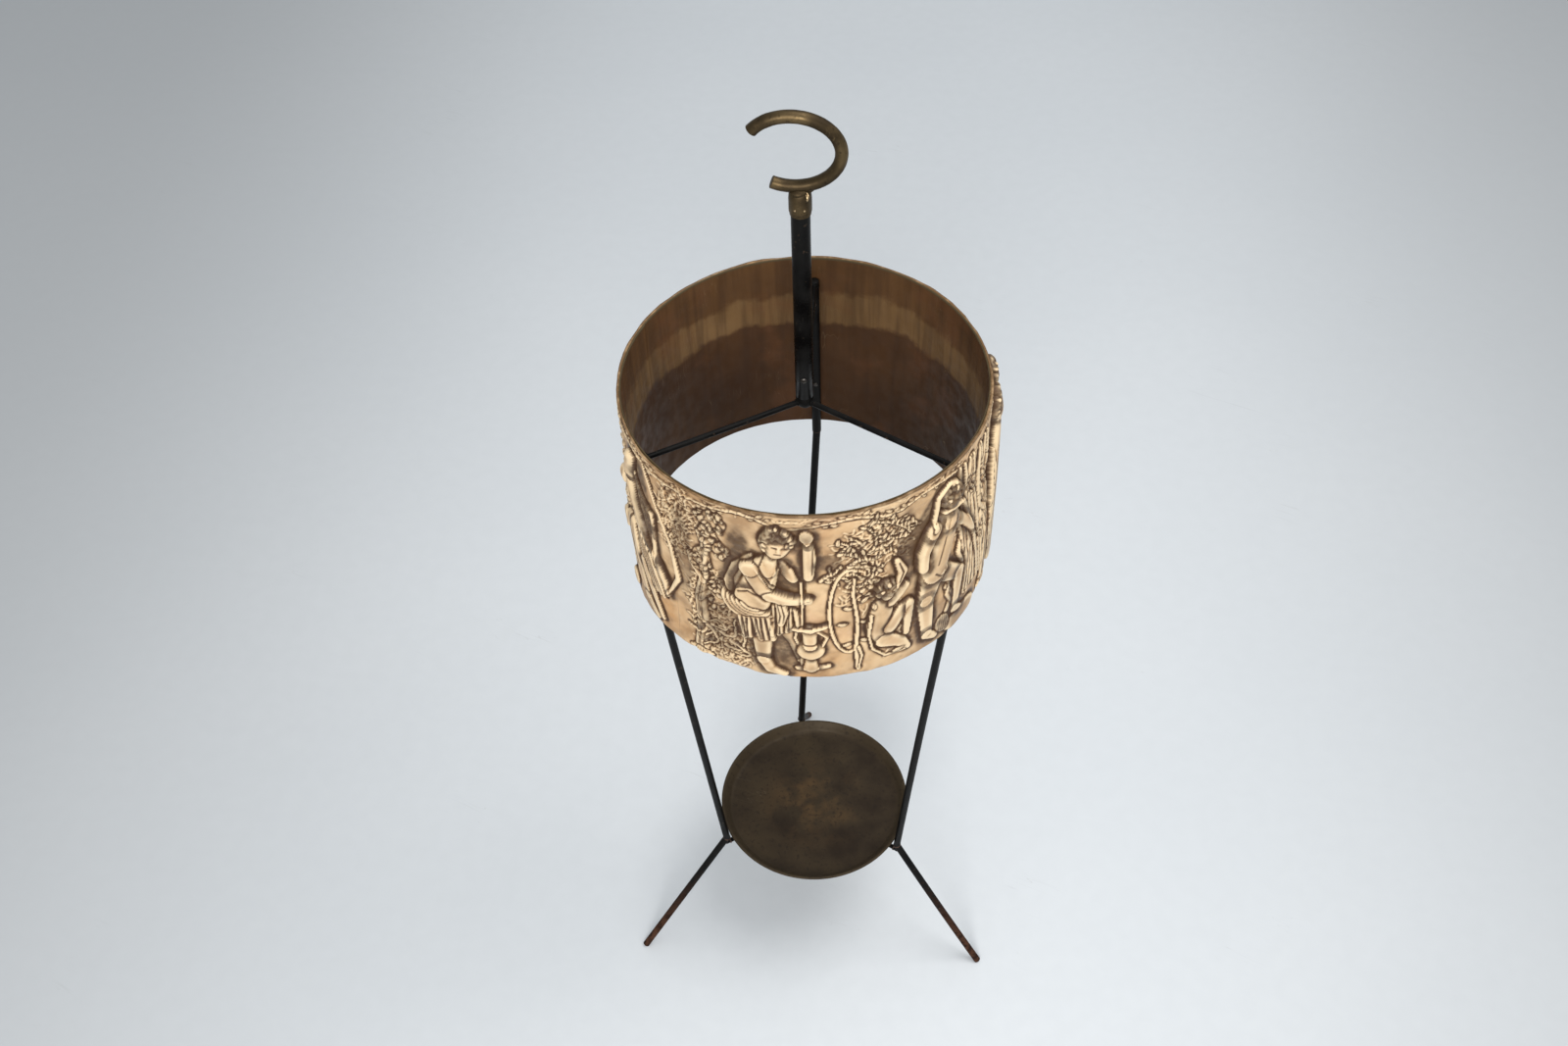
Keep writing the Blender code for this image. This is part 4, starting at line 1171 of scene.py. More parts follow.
def relief_finish(groups):
    """Ivory resin with umber rubbed into its recesses and orange stains low down, with painted shade in its
    broad hollows and a painted highlight on its crests.
    """
    material, tree, shader, place = new_material("ivory_relief_finish", 0.5, 0.0, Specular_IOR_Level=0.3)
    recess = node(tree, "ShaderNodeAttribute", attribute_name="recess").outputs["Fac"]
    hollow = node(tree, "ShaderNodeAttribute", attribute_name="hollow").outputs["Fac"]
    crest = node(tree, "ShaderNodeAttribute", attribute_name="crest").outputs["Fac"]
    overlay_mask = node(tree, "ShaderNodeAttribute", attribute_name="wash").outputs["Fac"]
    clouds = use_group(tree, place, groups["mottle"], Scale=26.0, Detail=5.0, Softness=0.22)
    fine = use_group(tree, place, groups["mottle"], Scale=150.0, Detail=4.0, Softness=0.25)
    stain = use_group(tree, place, groups["mottle"], Scale=16.0, Detail=6.0, Softness=0.12, Middle=0.56)
    pink = use_group(tree, place, groups["mottle"], Scale=22.0, Detail=3.0, Softness=0.08, Middle=0.66)
    grain = use_group(tree, place, groups["grain"], Fine=1500.0, Coarse=330.0, Pits=0.35)
    colour = mix_colours(tree, clouds.outputs[0], (0.55, 0.345, 0.175), (0.80, 0.565, 0.325))
    height = node(tree, "ShaderNodeSeparateXYZ")
    wire(tree, place, height.inputs[0])
    low = spread(tree, height.outputs["Z"], BAND_BOTTOM, BAND_BOTTOM + 0.075, 1.0, 0.25)
    low = calculate(tree, "MULTIPLY", low, stain.outputs[0], True)
    low = calculate(tree, "MULTIPLY", low, 1.0)
    colour = mix_colours(tree, low, colour, (0.56, 0.27, 0.085))
    blush = calculate(tree, "MULTIPLY", pink.outputs[0], 0.4)
    colour = mix_colours(tree, blush, colour, (0.50, 0.24, 0.14))
    smoke = use_group(tree, place, groups["mottle"], Scale=34.0, Detail=6.0, Softness=0.09, Middle=0.57)
    haze = calculate(tree, "MULTIPLY", smoke.outputs[0], 0.62)
    colour = mix_colours(tree, haze, colour, (0.27, 0.145, 0.065))
    # Painted highlight: the crests are lightened to pale cream
    bright = calculate(tree, "MULTIPLY", crest, 0.8)
    colour = mix_colours(tree, bright, colour, (0.95, 0.74, 0.47))
    uneven = calculate(tree, "MULTIPLY_ADD", fine.outputs[0], 0.7)
    uneven.node.inputs[2].default_value = 0.62
    # Painted shade: broad hollows beside raised figures are darkened to umber brown
    wash = calculate(tree, "MULTIPLY", hollow, uneven, True)
    colour = mix_colours(tree, wash, colour, (0.16, 0.078, 0.031))
    # Umber such as hair, and painted shade beside raised shapes, from the field drawn with the relief
    umber_and_shade_amount = spread(tree, overlay_mask, 0.02, 0.85)
    umber_and_shade_amount = calculate(tree, "MULTIPLY", umber_and_shade_amount, uneven, True)
    umber_and_shade_amount = calculate(tree, "MULTIPLY", umber_and_shade_amount, 0.88)
    colour = mix_colours(tree, umber_and_shade_amount, colour, (0.062, 0.029, 0.012))
    dark = calculate(tree, "MULTIPLY", recess, uneven, True)
    dark = calculate(tree, "MULTIPLY", dark, 0.85)
    colour = mix_colours(tree, dark, colour, (0.065, 0.028, 0.012))
    rim = spread(tree, height.outputs["Z"], BAND_TOP - 0.0028, BAND_TOP - 0.0002, 0.0, 1.0)
    rim = calculate(tree, "MULTIPLY", rim, uneven, True)
    colour = mix_colours(tree, rim, colour, (0.17, 0.095, 0.04))
    wire(tree, colour, shader.inputs["Base Color"])
    sheen = calculate(tree, "MULTIPLY_ADD", dark, 0.22)
    sheen.node.inputs[2].default_value = 0.44
    wire(tree, sheen, shader.inputs["Roughness"])
    add_bump(tree, shader, grain.outputs[0], 0.35, 0.0004)
    return material


def liner_finish(groups):
    """Brown varnish over a streaked ground, in three uneven bands that are partly the varnish's own tone and
    partly painted shade and painted reflection.
    """
    material, tree, shader, place = new_material("liner_varnish_finish", 0.42, 0.0, Specular_IOR_Level=0.10)
    split = node(tree, "ShaderNodeSeparateXYZ")
    wire(tree, place, split.inputs[0])
    patches = use_group(tree, place, groups["mottle"], Scale=14.0, Detail=4.0, Softness=0.3)
    fine = use_group(tree, place, groups["mottle"], Scale=120.0, Detail=6.0, Softness=0.3)
    blotch = use_group(tree, place, groups["mottle"], Scale=24.0, Detail=5.0, Softness=0.08, Middle=0.62)
    squash = node(tree, "ShaderNodeVectorMath", operation="MULTIPLY")
    squash.inputs[1].default_value = (1.0, 1.0, 0.07)
    wire(tree, place, squash.inputs[0])
    upright = node(tree, "ShaderNodeTexNoise")
    upright.inputs["Scale"].default_value = 160.0
    upright.inputs["Detail"].default_value = 5.0
    wire(tree, squash.outputs[0], upright.inputs["Vector"])
    wave = node(tree, "ShaderNodeTexNoise")
    wave.inputs["Scale"].default_value = 11.0
    wave.inputs["Detail"].default_value = 3.0
    wire(tree, place, wave.inputs["Vector"])
    shift = calculate(tree, "MULTIPLY_ADD", wave.outputs[0], 0.040)
    shift.node.inputs[2].default_value = -0.020
    level = calculate(tree, "ADD", split.outputs["Z"], shift)
    ragged = calculate(tree, "MULTIPLY_ADD", fine.outputs[0], 0.006)
    ragged.node.inputs[2].default_value = -0.003
    level = calculate(tree, "ADD", level, ragged)
    # The three bands are partly the varnish's tone and partly painted shade and painted reflection
    under = spread(tree, level, BAND_BOTTOM + 0.097, BAND_BOTTOM + 0.104)
    over = spread(tree, level, BAND_TOP - 0.035, BAND_TOP - 0.028)
    deep = mix_colours(tree, patches.outputs[0], (0.048, 0.020, 0.0075), (0.086, 0.039, 0.014))
    pale = mix_colours(tree, patches.outputs[0], (0.125, 0.068, 0.026), (0.205, 0.116, 0.048))
    upper = mix_colours(tree, patches.outputs[0], (0.070, 0.033, 0.013), (0.135, 0.066, 0.024))
    colour = mix_colours(tree, under, deep, pale)
    colour = mix_colours(tree, over, colour, upper)
    streak = spread(tree, upright.outputs[0], 0.38, 0.66)
    streak = calculate(tree, "MULTIPLY", streak, 0.42)
    colour = mix_colours(tree, streak, colour, (0.040, 0.019, 0.009))
    red = calculate(tree, "MULTIPLY", blotch.outputs[0], 0.4)
    colour = mix_colours(tree, red, colour, (0.135, 0.055, 0.022))
    rim = spread(tree, split.outputs["Z"], BAND_TOP - 0.0022, BAND_TOP - 0.0006)
    colour = mix_colours(tree, rim, colour, (0.085, 0.062, 0.032))
    chips = use_group(tree, place, groups["scratch"], Scale=26.0, Width=0.008, Amount=0.56)
    faint = calculate(tree, "MULTIPLY", chips.outputs[0], 0.35)
    colour = mix_colours(tree, faint, colour, (0.30, 0.21, 0.12))
    wire(tree, colour, shader.inputs["Base Color"])
    gloss = spread(tree, fine.outputs[0], 0.0, 1.0, 0.38, 0.62)
    wire(tree, gloss, shader.inputs["Roughness"])
    add_bump(tree, shader, upright.outputs[0], 0.25, 0.0004)
    return material


def brass_finish(groups, name, dark, warm, gold, worn, scale=1.0):
    """Brass under a brown patina, rubbed to gold in places."""
    material, tree, shader, place = new_material(name, 0.45, 0.85)
    mottle = groups["mottle"]
    patches = use_group(tree, place, mottle, Scale=55.0 * scale, Detail=5.0, Softness=0.28)
    overlay_mask = use_group(tree, place, mottle, Scale=24.0 * scale, Detail=6.0, Softness=0.14, Middle=worn)
    specks = use_group(tree, place, mottle, Scale=420.0 * scale, Detail=3.0, Softness=0.07, Middle=0.66)
    lines = use_group(tree, place, groups["scratch"], Scale=38.0 * scale, Width=0.010, Amount=0.52)
    grain = use_group(tree, place, groups["grain"], Fine=1400.0, Coarse=190.0 * scale, Pits=0.25)
    colour = mix_colours(tree, patches.outputs[0], dark, warm)
    colour = mix_colours(tree, overlay_mask.outputs[0], colour, gold)
    spots = calculate(tree, "MULTIPLY", specks.outputs[0], 0.6)
    colour = mix_colours(tree, spots, colour, tuple(0.45 * part for part in dark))
    fine = calculate(tree, "MULTIPLY", lines.outputs[0], 0.55)
    colour = mix_colours(tree, fine, colour, tuple(min(1.0, 1.8 * part) for part in gold))
    wire(tree, colour, shader.inputs["Base Color"])
    gloss = spread(tree, patches.outputs[0], 0.0, 1.0, 0.60, 0.30)
    wire(tree, gloss, shader.inputs["Roughness"])
    add_bump(tree, shader, grain.outputs[0], 0.22, 0.0003)
    return material


def tray_finish(groups):
    """Olive-brown patina over brass, with a bronze bloom in the middle and pale scratches."""
    material, tree, shader, place = new_material("tray_brass_finish", 0.5, 0.2, Specular_IOR_Level=0.15)
    patches = use_group(tree, place, groups["mottle"], Scale=30.0, Detail=6.0, Softness=0.25)
    bloom = use_group(tree, place, groups["mottle"], Scale=34.0, Detail=6.0, Softness=0.10, Middle=0.52)
    specks = use_group(tree, place, groups["mottle"], Scale=300.0, Detail=4.0, Softness=0.08, Middle=0.62)
    lines = use_group(tree, place, groups["scratch"], Scale=13.0, Width=0.006, Amount=0.56)
    grain = use_group(tree, place, groups["grain"], Fine=1200.0, Coarse=260.0, Pits=0.3)
    centred = node(tree, "ShaderNodeMapping")
    centred.inputs["Location"].default_value = (0.0, -AXIS_Y, 0.0)
    wire(tree, place, centred.inputs["Vector"])
    flat = node(tree, "ShaderNodeVectorMath", operation="MULTIPLY")
    flat.inputs[1].default_value = (1.0, 1.0, 0.0)
    wire(tree, centred.outputs[0], flat.inputs[0])
    radius = node(tree, "ShaderNodeVectorMath", operation="LENGTH")
    wire(tree, flat.outputs[0], radius.inputs[0])
    inner = spread(tree, radius.outputs["Value"], 0.0, 0.058, 1.0, 0.0)
    edge = spread(tree, radius.outputs["Value"], 0.0715, 0.0785)
    colour = mix_colours(tree, patches.outputs[0], (0.020, 0.013, 0.008), (0.045, 0.031, 0.017))
    warm = calculate(tree, "MULTIPLY", inner, bloom.outputs[0], True)
    warm = calculate(tree, "MULTIPLY", warm, 0.55)
    colour = mix_colours(tree, warm, colour, (0.130, 0.072, 0.028))
    side = calculate(tree, "MULTIPLY", edge, 0.4)
    colour = mix_colours(tree, side, colour, (0.075, 0.054, 0.030))
    spots = calculate(tree, "MULTIPLY", specks.outputs[0], 0.5)
    colour = mix_colours(tree, spots, colour, (0.016, 0.011, 0.008))
    fine = calculate(tree, "MULTIPLY", lines.outputs[0], 0.5)
    colour = mix_colours(tree, fine, colour, (0.24, 0.20, 0.14))
    wire(tree, colour, shader.inputs["Base Color"])
    gloss = spread(tree, patches.outputs[0], 0.0, 1.0, 0.62, 0.42)
    wire(tree, gloss, shader.inputs["Roughness"])
    add_bump(tree, shader, grain.outputs[0], 0.25, 0.0004)
    return material


def enamel_finish(groups, name, reach, gloss_low, gloss_high):
    """Black enamel, dusty and chipped, with rust creeping up from the floor."""
    material, tree, shader, place = new_material(name, 0.45, 0.0, Specular_IOR_Level=0.10)
    dusty = use_group(tree, place, groups["mottle"], Scale=70.0, Detail=5.0, Softness=0.25)
    chips = use_group(tree, place, groups["mottle"], Scale=260.0, Detail=3.0, Softness=0.03, Middle=0.70)
    lines = use_group(tree, place, groups["scratch"], Scale=60.0, Width=0.012, Amount=0.54)
    rust = use_group(tree, place, groups["rust"], Reach=reach)
    grain = use_group(tree, place, groups["grain"], Fine=1500.0, Coarse=420.0, Pits=0.5)
    colour = mix_colours(tree, dusty.outputs[0], (0.0022, 0.0021, 0.0022), (0.008, 0.0075, 0.007))
    bare = calculate(tree, "MULTIPLY", chips.outputs[0], 0.5)
    colour = mix_colours(tree, bare, colour, (0.085, 0.055, 0.035))
    fine = calculate(tree, "MULTIPLY", lines.outputs[0], 0.25)
    colour = mix_colours(tree, fine, colour, (0.10, 0.09, 0.08))
    tone = spread(tree, rust.outputs["Tone"], 0.35, 0.65)
    brown = mix_colours(tree, tone, (0.024, 0.011, 0.007), (0.085, 0.038, 0.021))
    spread_out = calculate(tree, "MULTIPLY", rust.outputs["Mask"], 0.9)
    colour = mix_colours(tree, spread_out, colour, brown)
    wire(tree, colour, shader.inputs["Base Color"])
    gloss = spread(tree, dusty.outputs[0], 0.0, 1.0, gloss_low, gloss_high)
    dull = calculate(tree, "MULTIPLY_ADD", rust.outputs["Mask"], 0.35)
    wire(tree, gloss, dull.node.inputs[2])
    wire(tree, dull, shader.inputs["Roughness"])
    add_bump(tree, shader, grain.outputs[0], 0.3, 0.0003)
    return material


def weld_finish(groups):
    """Brown, slightly scaly metal of the weld beads."""
    material, tree, shader, place = new_material("weld_bead_finish", 0.6, 0.3)
    tone = use_group(tree, place, groups["mottle"], Scale=320.0, Detail=4.0, Softness=0.2)
    grain = use_group(tree, place, groups["grain"], Fine=1800.0, Coarse=700.0, Pits=0.8)
    colour = mix_colours(tree, tone.outputs[0], (0.018, 0.012, 0.010), (0.095, 0.048, 0.028))
    wire(tree, colour, shader.inputs["Base Color"])
    add_bump(tree, shader, grain.outputs[0], 0.5, 0.0005)
    return material


def solder_finish(groups):
    """Bright solder drawn up round the ferrule's top."""
    material, tree, shader, place = new_material("solder_finish", 0.3, 0.9)
    tone = use_group(tree, place, groups["mottle"], Scale=260.0, Detail=4.0, Softness=0.25)
    grain = use_group(tree, place, groups["grain"], Fine=1800.0, Coarse=500.0, Pits=0.4)
    colour = mix_colours(tree, tone.outputs[0], (0.30, 0.19, 0.085), (0.66, 0.50, 0.30))
    wire(tree, colour, shader.inputs["Base Color"])
    add_bump(tree, shader, grain.outputs[0], 0.35, 0.0004)
    return material


def floor_finish(groups):
    """Pale painted floor: faint clouds, light scuffs, and painted shade that darkens it away from the stand.
    """
    material, tree, shader, place = new_material("pale_floor_finish", 0.85, 0.0, Specular_IOR_Level=0.1)
    clouds = use_group(tree, place, groups["mottle"], Scale=1.6, Detail=3.0, Softness=0.4)
    fine = use_group(tree, place, groups["mottle"], Scale=60.0, Detail=5.0, Softness=0.4)
    scuffs = use_group(tree, place, groups["scratch"], Scale=7.0, Width=0.004, Amount=0.60)
    colour = mix_colours(tree, clouds.outputs[0], (0.665, 0.700, 0.735), (0.715, 0.745, 0.775))
    soft = calculate(tree, "MULTIPLY", fine.outputs[0], 0.3)
    colour = mix_colours(tree, soft, colour, (0.62, 0.65, 0.68))
    faint = calculate(tree, "MULTIPLY", scuffs.outputs[0], 0.3)
    colour = mix_colours(tree, faint, colour, (0.36, 0.36, 0.36))
    split = node(tree, "ShaderNodeSeparateXYZ")
    wire(tree, place, split.inputs[0])
    # Painted shade: the floor darkens with distance to either side of the stand
    aside = calculate(tree, "SUBTRACT", split.outputs["X"], 0.02)
    aside = calculate(tree, "ABSOLUTE", aside)
    painted_light_falloff = spread(tree, aside, 0.15, 1.10)
    painted_light_falloff = calculate(tree, "MULTIPLY", painted_light_falloff, 0.62)
    colour = mix_colours(tree, painted_light_falloff, colour, (0.33, 0.34, 0.35))
    wire(tree, colour, shader.inputs["Base Color"])
    return material


# ---------------------------------------------------------------- shapes


def finish_mesh(name, shape, material, body, replaced=(), sharp=40):
    """Turn a bmesh into a smooth-shaded piece that rides on a body."""
    mesh = bpy.data.meshes.new(name)
    shape.to_mesh(mesh)
    shape.free()
    mesh.shade_smooth()
    mesh.set_sharp_from_angle(angle=math.radians(sharp))
    piece = bpy.data.objects.new(name, mesh)
    bpy.context.scene.collection.objects.link(piece)
    mesh.materials.append(material)
    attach(piece, body)
    if replaced:
        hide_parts(*replaced)
    return piece


def turned(outline, segments, closed=False, centre=(0, 0, 0)):
    """Spin an outline of (radius, height) points round Z."""
    shape = bmesh.new()
    points = [shape.verts.new((radius, 0, height)) for radius, height in outline]
    pairs = list(zip(points, points[1:]))
    if closed:
        pairs.append((points[-1], points[0]))
    edges = [shape.edges.new(pair) for pair in pairs]
    bmesh.ops.spin(
        shape,
        geom=points + edges,
        cent=(0, 0, 0),
        axis=(0, 0, 1),
        angle=math.tau,
        steps=segments,
        use_merge=True,
    )
    bmesh.ops.remove_doubles(shape, verts=shape.verts[:], dist=1e-6)
    bmesh.ops.recalc_face_normals(shape, faces=shape.faces[:])
    bmesh.ops.translate(shape, verts=shape.verts[:], vec=centre)
    return shape


def edges_of(verts):
    """Edges at some vertices, each once and always in the same order."""
    return list(dict.fromkeys(edge for vert in verts for edge in vert.link_edges))


def tube_along(points, radii, sides=28, side_axis=None):
    """Round bar swept along points, closed flat at both ends."""
    shape = bmesh.new()
    points = [Vector(point) for point in points]
    loops = []
    for index, point in enumerate(points):
        before = points[max(index - 1, 0)]
        after = points[min(index + 1, len(points) - 1)]
        along = (after - before).normalized()
        side = Vector(side_axis) if side_axis else along.orthogonal()
        if loops and not side_axis:
            side = last_side
        across = (side - along * side.dot(along)).normalized()
        last_side = across
        frame = Matrix((across, along.cross(across), along)).transposed().to_4x4()
        place = Matrix.Translation(point) @ frame
        circle = bmesh.ops.create_circle(shape, segments=sides, radius=radii[index], matrix=place)["verts"]
        loops.append(edges_of(circle))
    for first, second in zip(loops, loops[1:]):
        bmesh.ops.bridge_loops(shape, edges=first + second)
    for edges in (loops[0], loops[-1]):
        bmesh.ops.edgeloop_fill(shape, edges=edges)
    bmesh.ops.recalc_face_normals(shape, faces=shape.faces[:])
    return shape


def on_rim(vert, side):
    return vert.co.y * side > 0.9999 and vert.co.z == 0


def relief_skin(relief, material):
    """The moulded skin in three sectors. Each is a flat grid with a back, wrapped round the liner."""
    level = relief.level
    # Masks for the finish: umber in the fine recesses, painted shade in the broad hollows, a painted
    # highlight on the crests, and the umber and painted-shade field
    marks = {
        "recess": np.clip((soften(level, 1.1) - level - 0.03) / 0.26, 0, 1),
        "hollow": np.clip((soften(level, 3.6) - level - 0.05) / 1.0, 0, 1),
        "crest": np.clip((level - soften(level, 1.6) - 0.06) / 0.5, 0, 1),
        "wash": np.clip(relief.wash, 0, 1),
    }
    level = shape_ground(relief)
    ragged = rough(5, 31)[0]
    steps = COLUMNS // SECTORS
    first = round(SEAM_AZIMUTH / 360 * COLUMNS)
    for sector in range(SECTORS):
        shape = bmesh.new()
        bmesh.ops.create_grid(shape, x_segments=steps, y_segments=ROWS - 1, size=1.0)
        rims = []
        for side in (1, -1):
            rim = [edge for edge in shape.edges if all(on_rim(vert, side) for vert in edge.verts)]
            grown = bmesh.ops.extrude_edge_only(shape, edges=rim)["geom"]
            moved = [item for item in grown if isinstance(item, bmesh.types.BMVert)]
            bmesh.ops.translate(shape, verts=moved, vec=(0, 0, -1))
            lines = [item for item in grown if isinstance(item, bmesh.types.BMEdge) and item.is_boundary]
            rims += [edge for edge in lines if all(vert in moved for vert in edge.verts)]
        bmesh.ops.bridge_loops(shape, edges=rims)
        bmesh.ops.holes_fill(shape, edges=[edge for edge in shape.edges if edge.is_boundary])
        bmesh.ops.recalc_face_normals(shape, faces=shape.faces[:])
        name = "relief_skin_" + "abc"[sector]
        piece = finish_mesh(name, shape, material, "stand", ("relief_band",), 180)
        mesh = piece.data
        spots = np.empty(len(mesh.vertices) * 3, np.float32)
        mesh.vertices.foreach_get("co", spots)
        spots = spots.reshape(-1, 3).astype(float)
        step = np.rint((spots[:, 0] + 1) / 2 * steps).astype(int)
        row = np.rint((spots[:, 1] + 1) / 2 * (ROWS - 1)).astype(int)
        outer = spots[:, 2] > -0.5
        column = (first + sector * steps + step) % COLUMNS
        azimuth = (first + sector * steps + step) / COLUMNS * math.tau
        radius = np.where(outer, SKIN_GROUND + level[row, column] / 1000, SKIN_INNER)
        top = smooth_step((row - ROWS + 9) / 8)
        bottom = smooth_step((8 - row) / 8)
        uneven = 0.00022 * (ragged[column] - 1.2) * top + 0.00030 * (ragged[-column] + 0.8) * bottom
        spots[:, 0] = radius * np.cos(azimuth)
        spots[:, 1] = radius * np.sin(azimuth) + AXIS_Y
        spots[:, 2] = BAND_BOTTOM + row * STEP_Y / 1000 + uneven
        mesh.vertices.foreach_set("co", spots.astype(np.float32).ravel())
        for name, field in marks.items():
            attribute = mesh.attributes.new(name, "FLOAT", "POINT")
            attribute.data.foreach_set("value", np.where(outer, field[row, column], 0.0).astype(np.float32))
        mesh.update()


def liner_shell(material):
    """Thin rolled sheet inside the relief, lapped at one seam, with a worn rim."""
    rows = 44
    inner = [(LINER_INNER, height) for height in np.linspace(BAND_TOP - 0.0003, BAND_BOTTOM + 0.0002, rows)]
    outer = [(LINER_OUTER, BAND_BOTTOM), (LINER_OUTER, BAND_TOP - 0.0002), (LINER_OUTER - 0.0004, BAND_TOP)]
    shape = turned(inner + outer, 720, True)
    random = np.random.default_rng(5)
    spans = ((0, 360), (0.49, 0.635), (3, 9), (-1, 1))
    dents = [[random.uniform(*span) for span in spans] for _ in range(60)]
    for vert in shape.verts:
        radius = vert.co.xy.length
        if radius > LINER_OUTER - 0.0003:
            continue
        azimuth = math.degrees(math.atan2(vert.co.y, vert.co.x)) % 360
        past_seam = (azimuth - LINER_SEAM) % 360
        lap = -0.00042 * max(0.0, 1 - past_seam / 34) if past_seam > 0.3 else 0.0
        push = 0.0
        for where, height, wide, deep in dents:
            across = ((azimuth - where + 180) % 360 - 180) / wide
            up = (vert.co.z - height) / (wide * 0.0022)
            if abs(across) < 2.2 and abs(up) < 2.2:
                push += 0.00016 * deep * math.exp(-across * across - up * up)
        push += 0.00006 * math.sin(azimuth * 0.9) * math.sin(vert.co.z * 160)
        vert.co.xy *= 1 + (lap + push) / radius
    bmesh.ops.translate(shape, verts=shape.verts[:], vec=(0, AXIS_Y, 0))
    finish_mesh("liner_shell", shape, material, "stand", ("band_liner",), 50)


def drip_dish(material):
    """Spun dish with a rolled lip, a stepped rim and a floor that is no longer quite flat."""
    low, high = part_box("drip_tray")
    outer = (high.x - low.x) / 2
    rim = high.z
    outline = (
        (0.0, low.z),
        (outer - 0.0092, low.z),
        (outer - 0.0072, low.z + 0.0004),
        (outer - 0.0058, low.z + 0.0014),
        (outer - 0.0046, low.z + 0.0032),
        (outer - 0.0022, rim - 0.0028),
        (outer - 0.0006, rim - 0.0022),
        (outer, rim - 0.0014),
        (outer - 0.0002, rim - 0.0005),
        (outer - 0.0009, rim),
        (outer - 0.0017, rim - 0.0002),
        (outer - 0.0025, rim - 0.0009),
        (outer - 0.0036, rim - 0.0022),
        (outer - 0.0058, low.z + 0.0046),
        (outer - 0.0070, low.z + 0.0026),
        (outer - 0.0084, low.z + 0.0016),
        (outer - 0.0104, low.z + 0.0012),
        (outer * 0.80, low.z + 0.0012),
        (outer * 0.65, low.z + 0.0012),
        (outer * 0.50, low.z + 0.0012),
        (outer * 0.35, low.z + 0.0012),
        (outer * 0.20, low.z + 0.0012),
        (0.0, low.z + 0.0012),
    )
    shape = turned(outline, 256)
    for vert in shape.verts:
        x, y = vert.co.x * 1000, vert.co.y * 1000
        radius = math.hypot(x, y)
        if vert.co.z < low.z + 0.0001:
            continue
        swell = 0.00022 * math.sin(x * 0.061 + 1.3) * math.sin(y * 0.047 + 0.4)
        swell += 0.00010 * math.sin(x * 0.16 + y * 0.12)
        vert.co.z += swell * min(1.0, max(0.0, (78 - radius) / 12))
    bmesh.ops.translate(shape, verts=shape.verts[:], vec=(0, AXIS_Y, 0))
    finish_mesh("drip_dish", shape, material, "tray", ("drip_tray",), 60)


def handle_points():
    """Centre line of the handle: an oval that fits the frame's ring."""
    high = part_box("handle_ring")[1]
    points = []
    for step in range(97):
        degrees = math.radians(148 - 261 * step / 96)
        across = 0.0291 * math.cos(degrees)
        up = 0.0245 * math.sin(degrees)
        tilt = math.radians(-3.6)
        x = across * math.cos(tilt) - up * math.sin(tilt) - 0.004
        z = across * math.sin(tilt) + up * math.cos(tilt) + high.z - 0.0285
        points.append(Vector((x, AXIS_Y, z)))
    return points


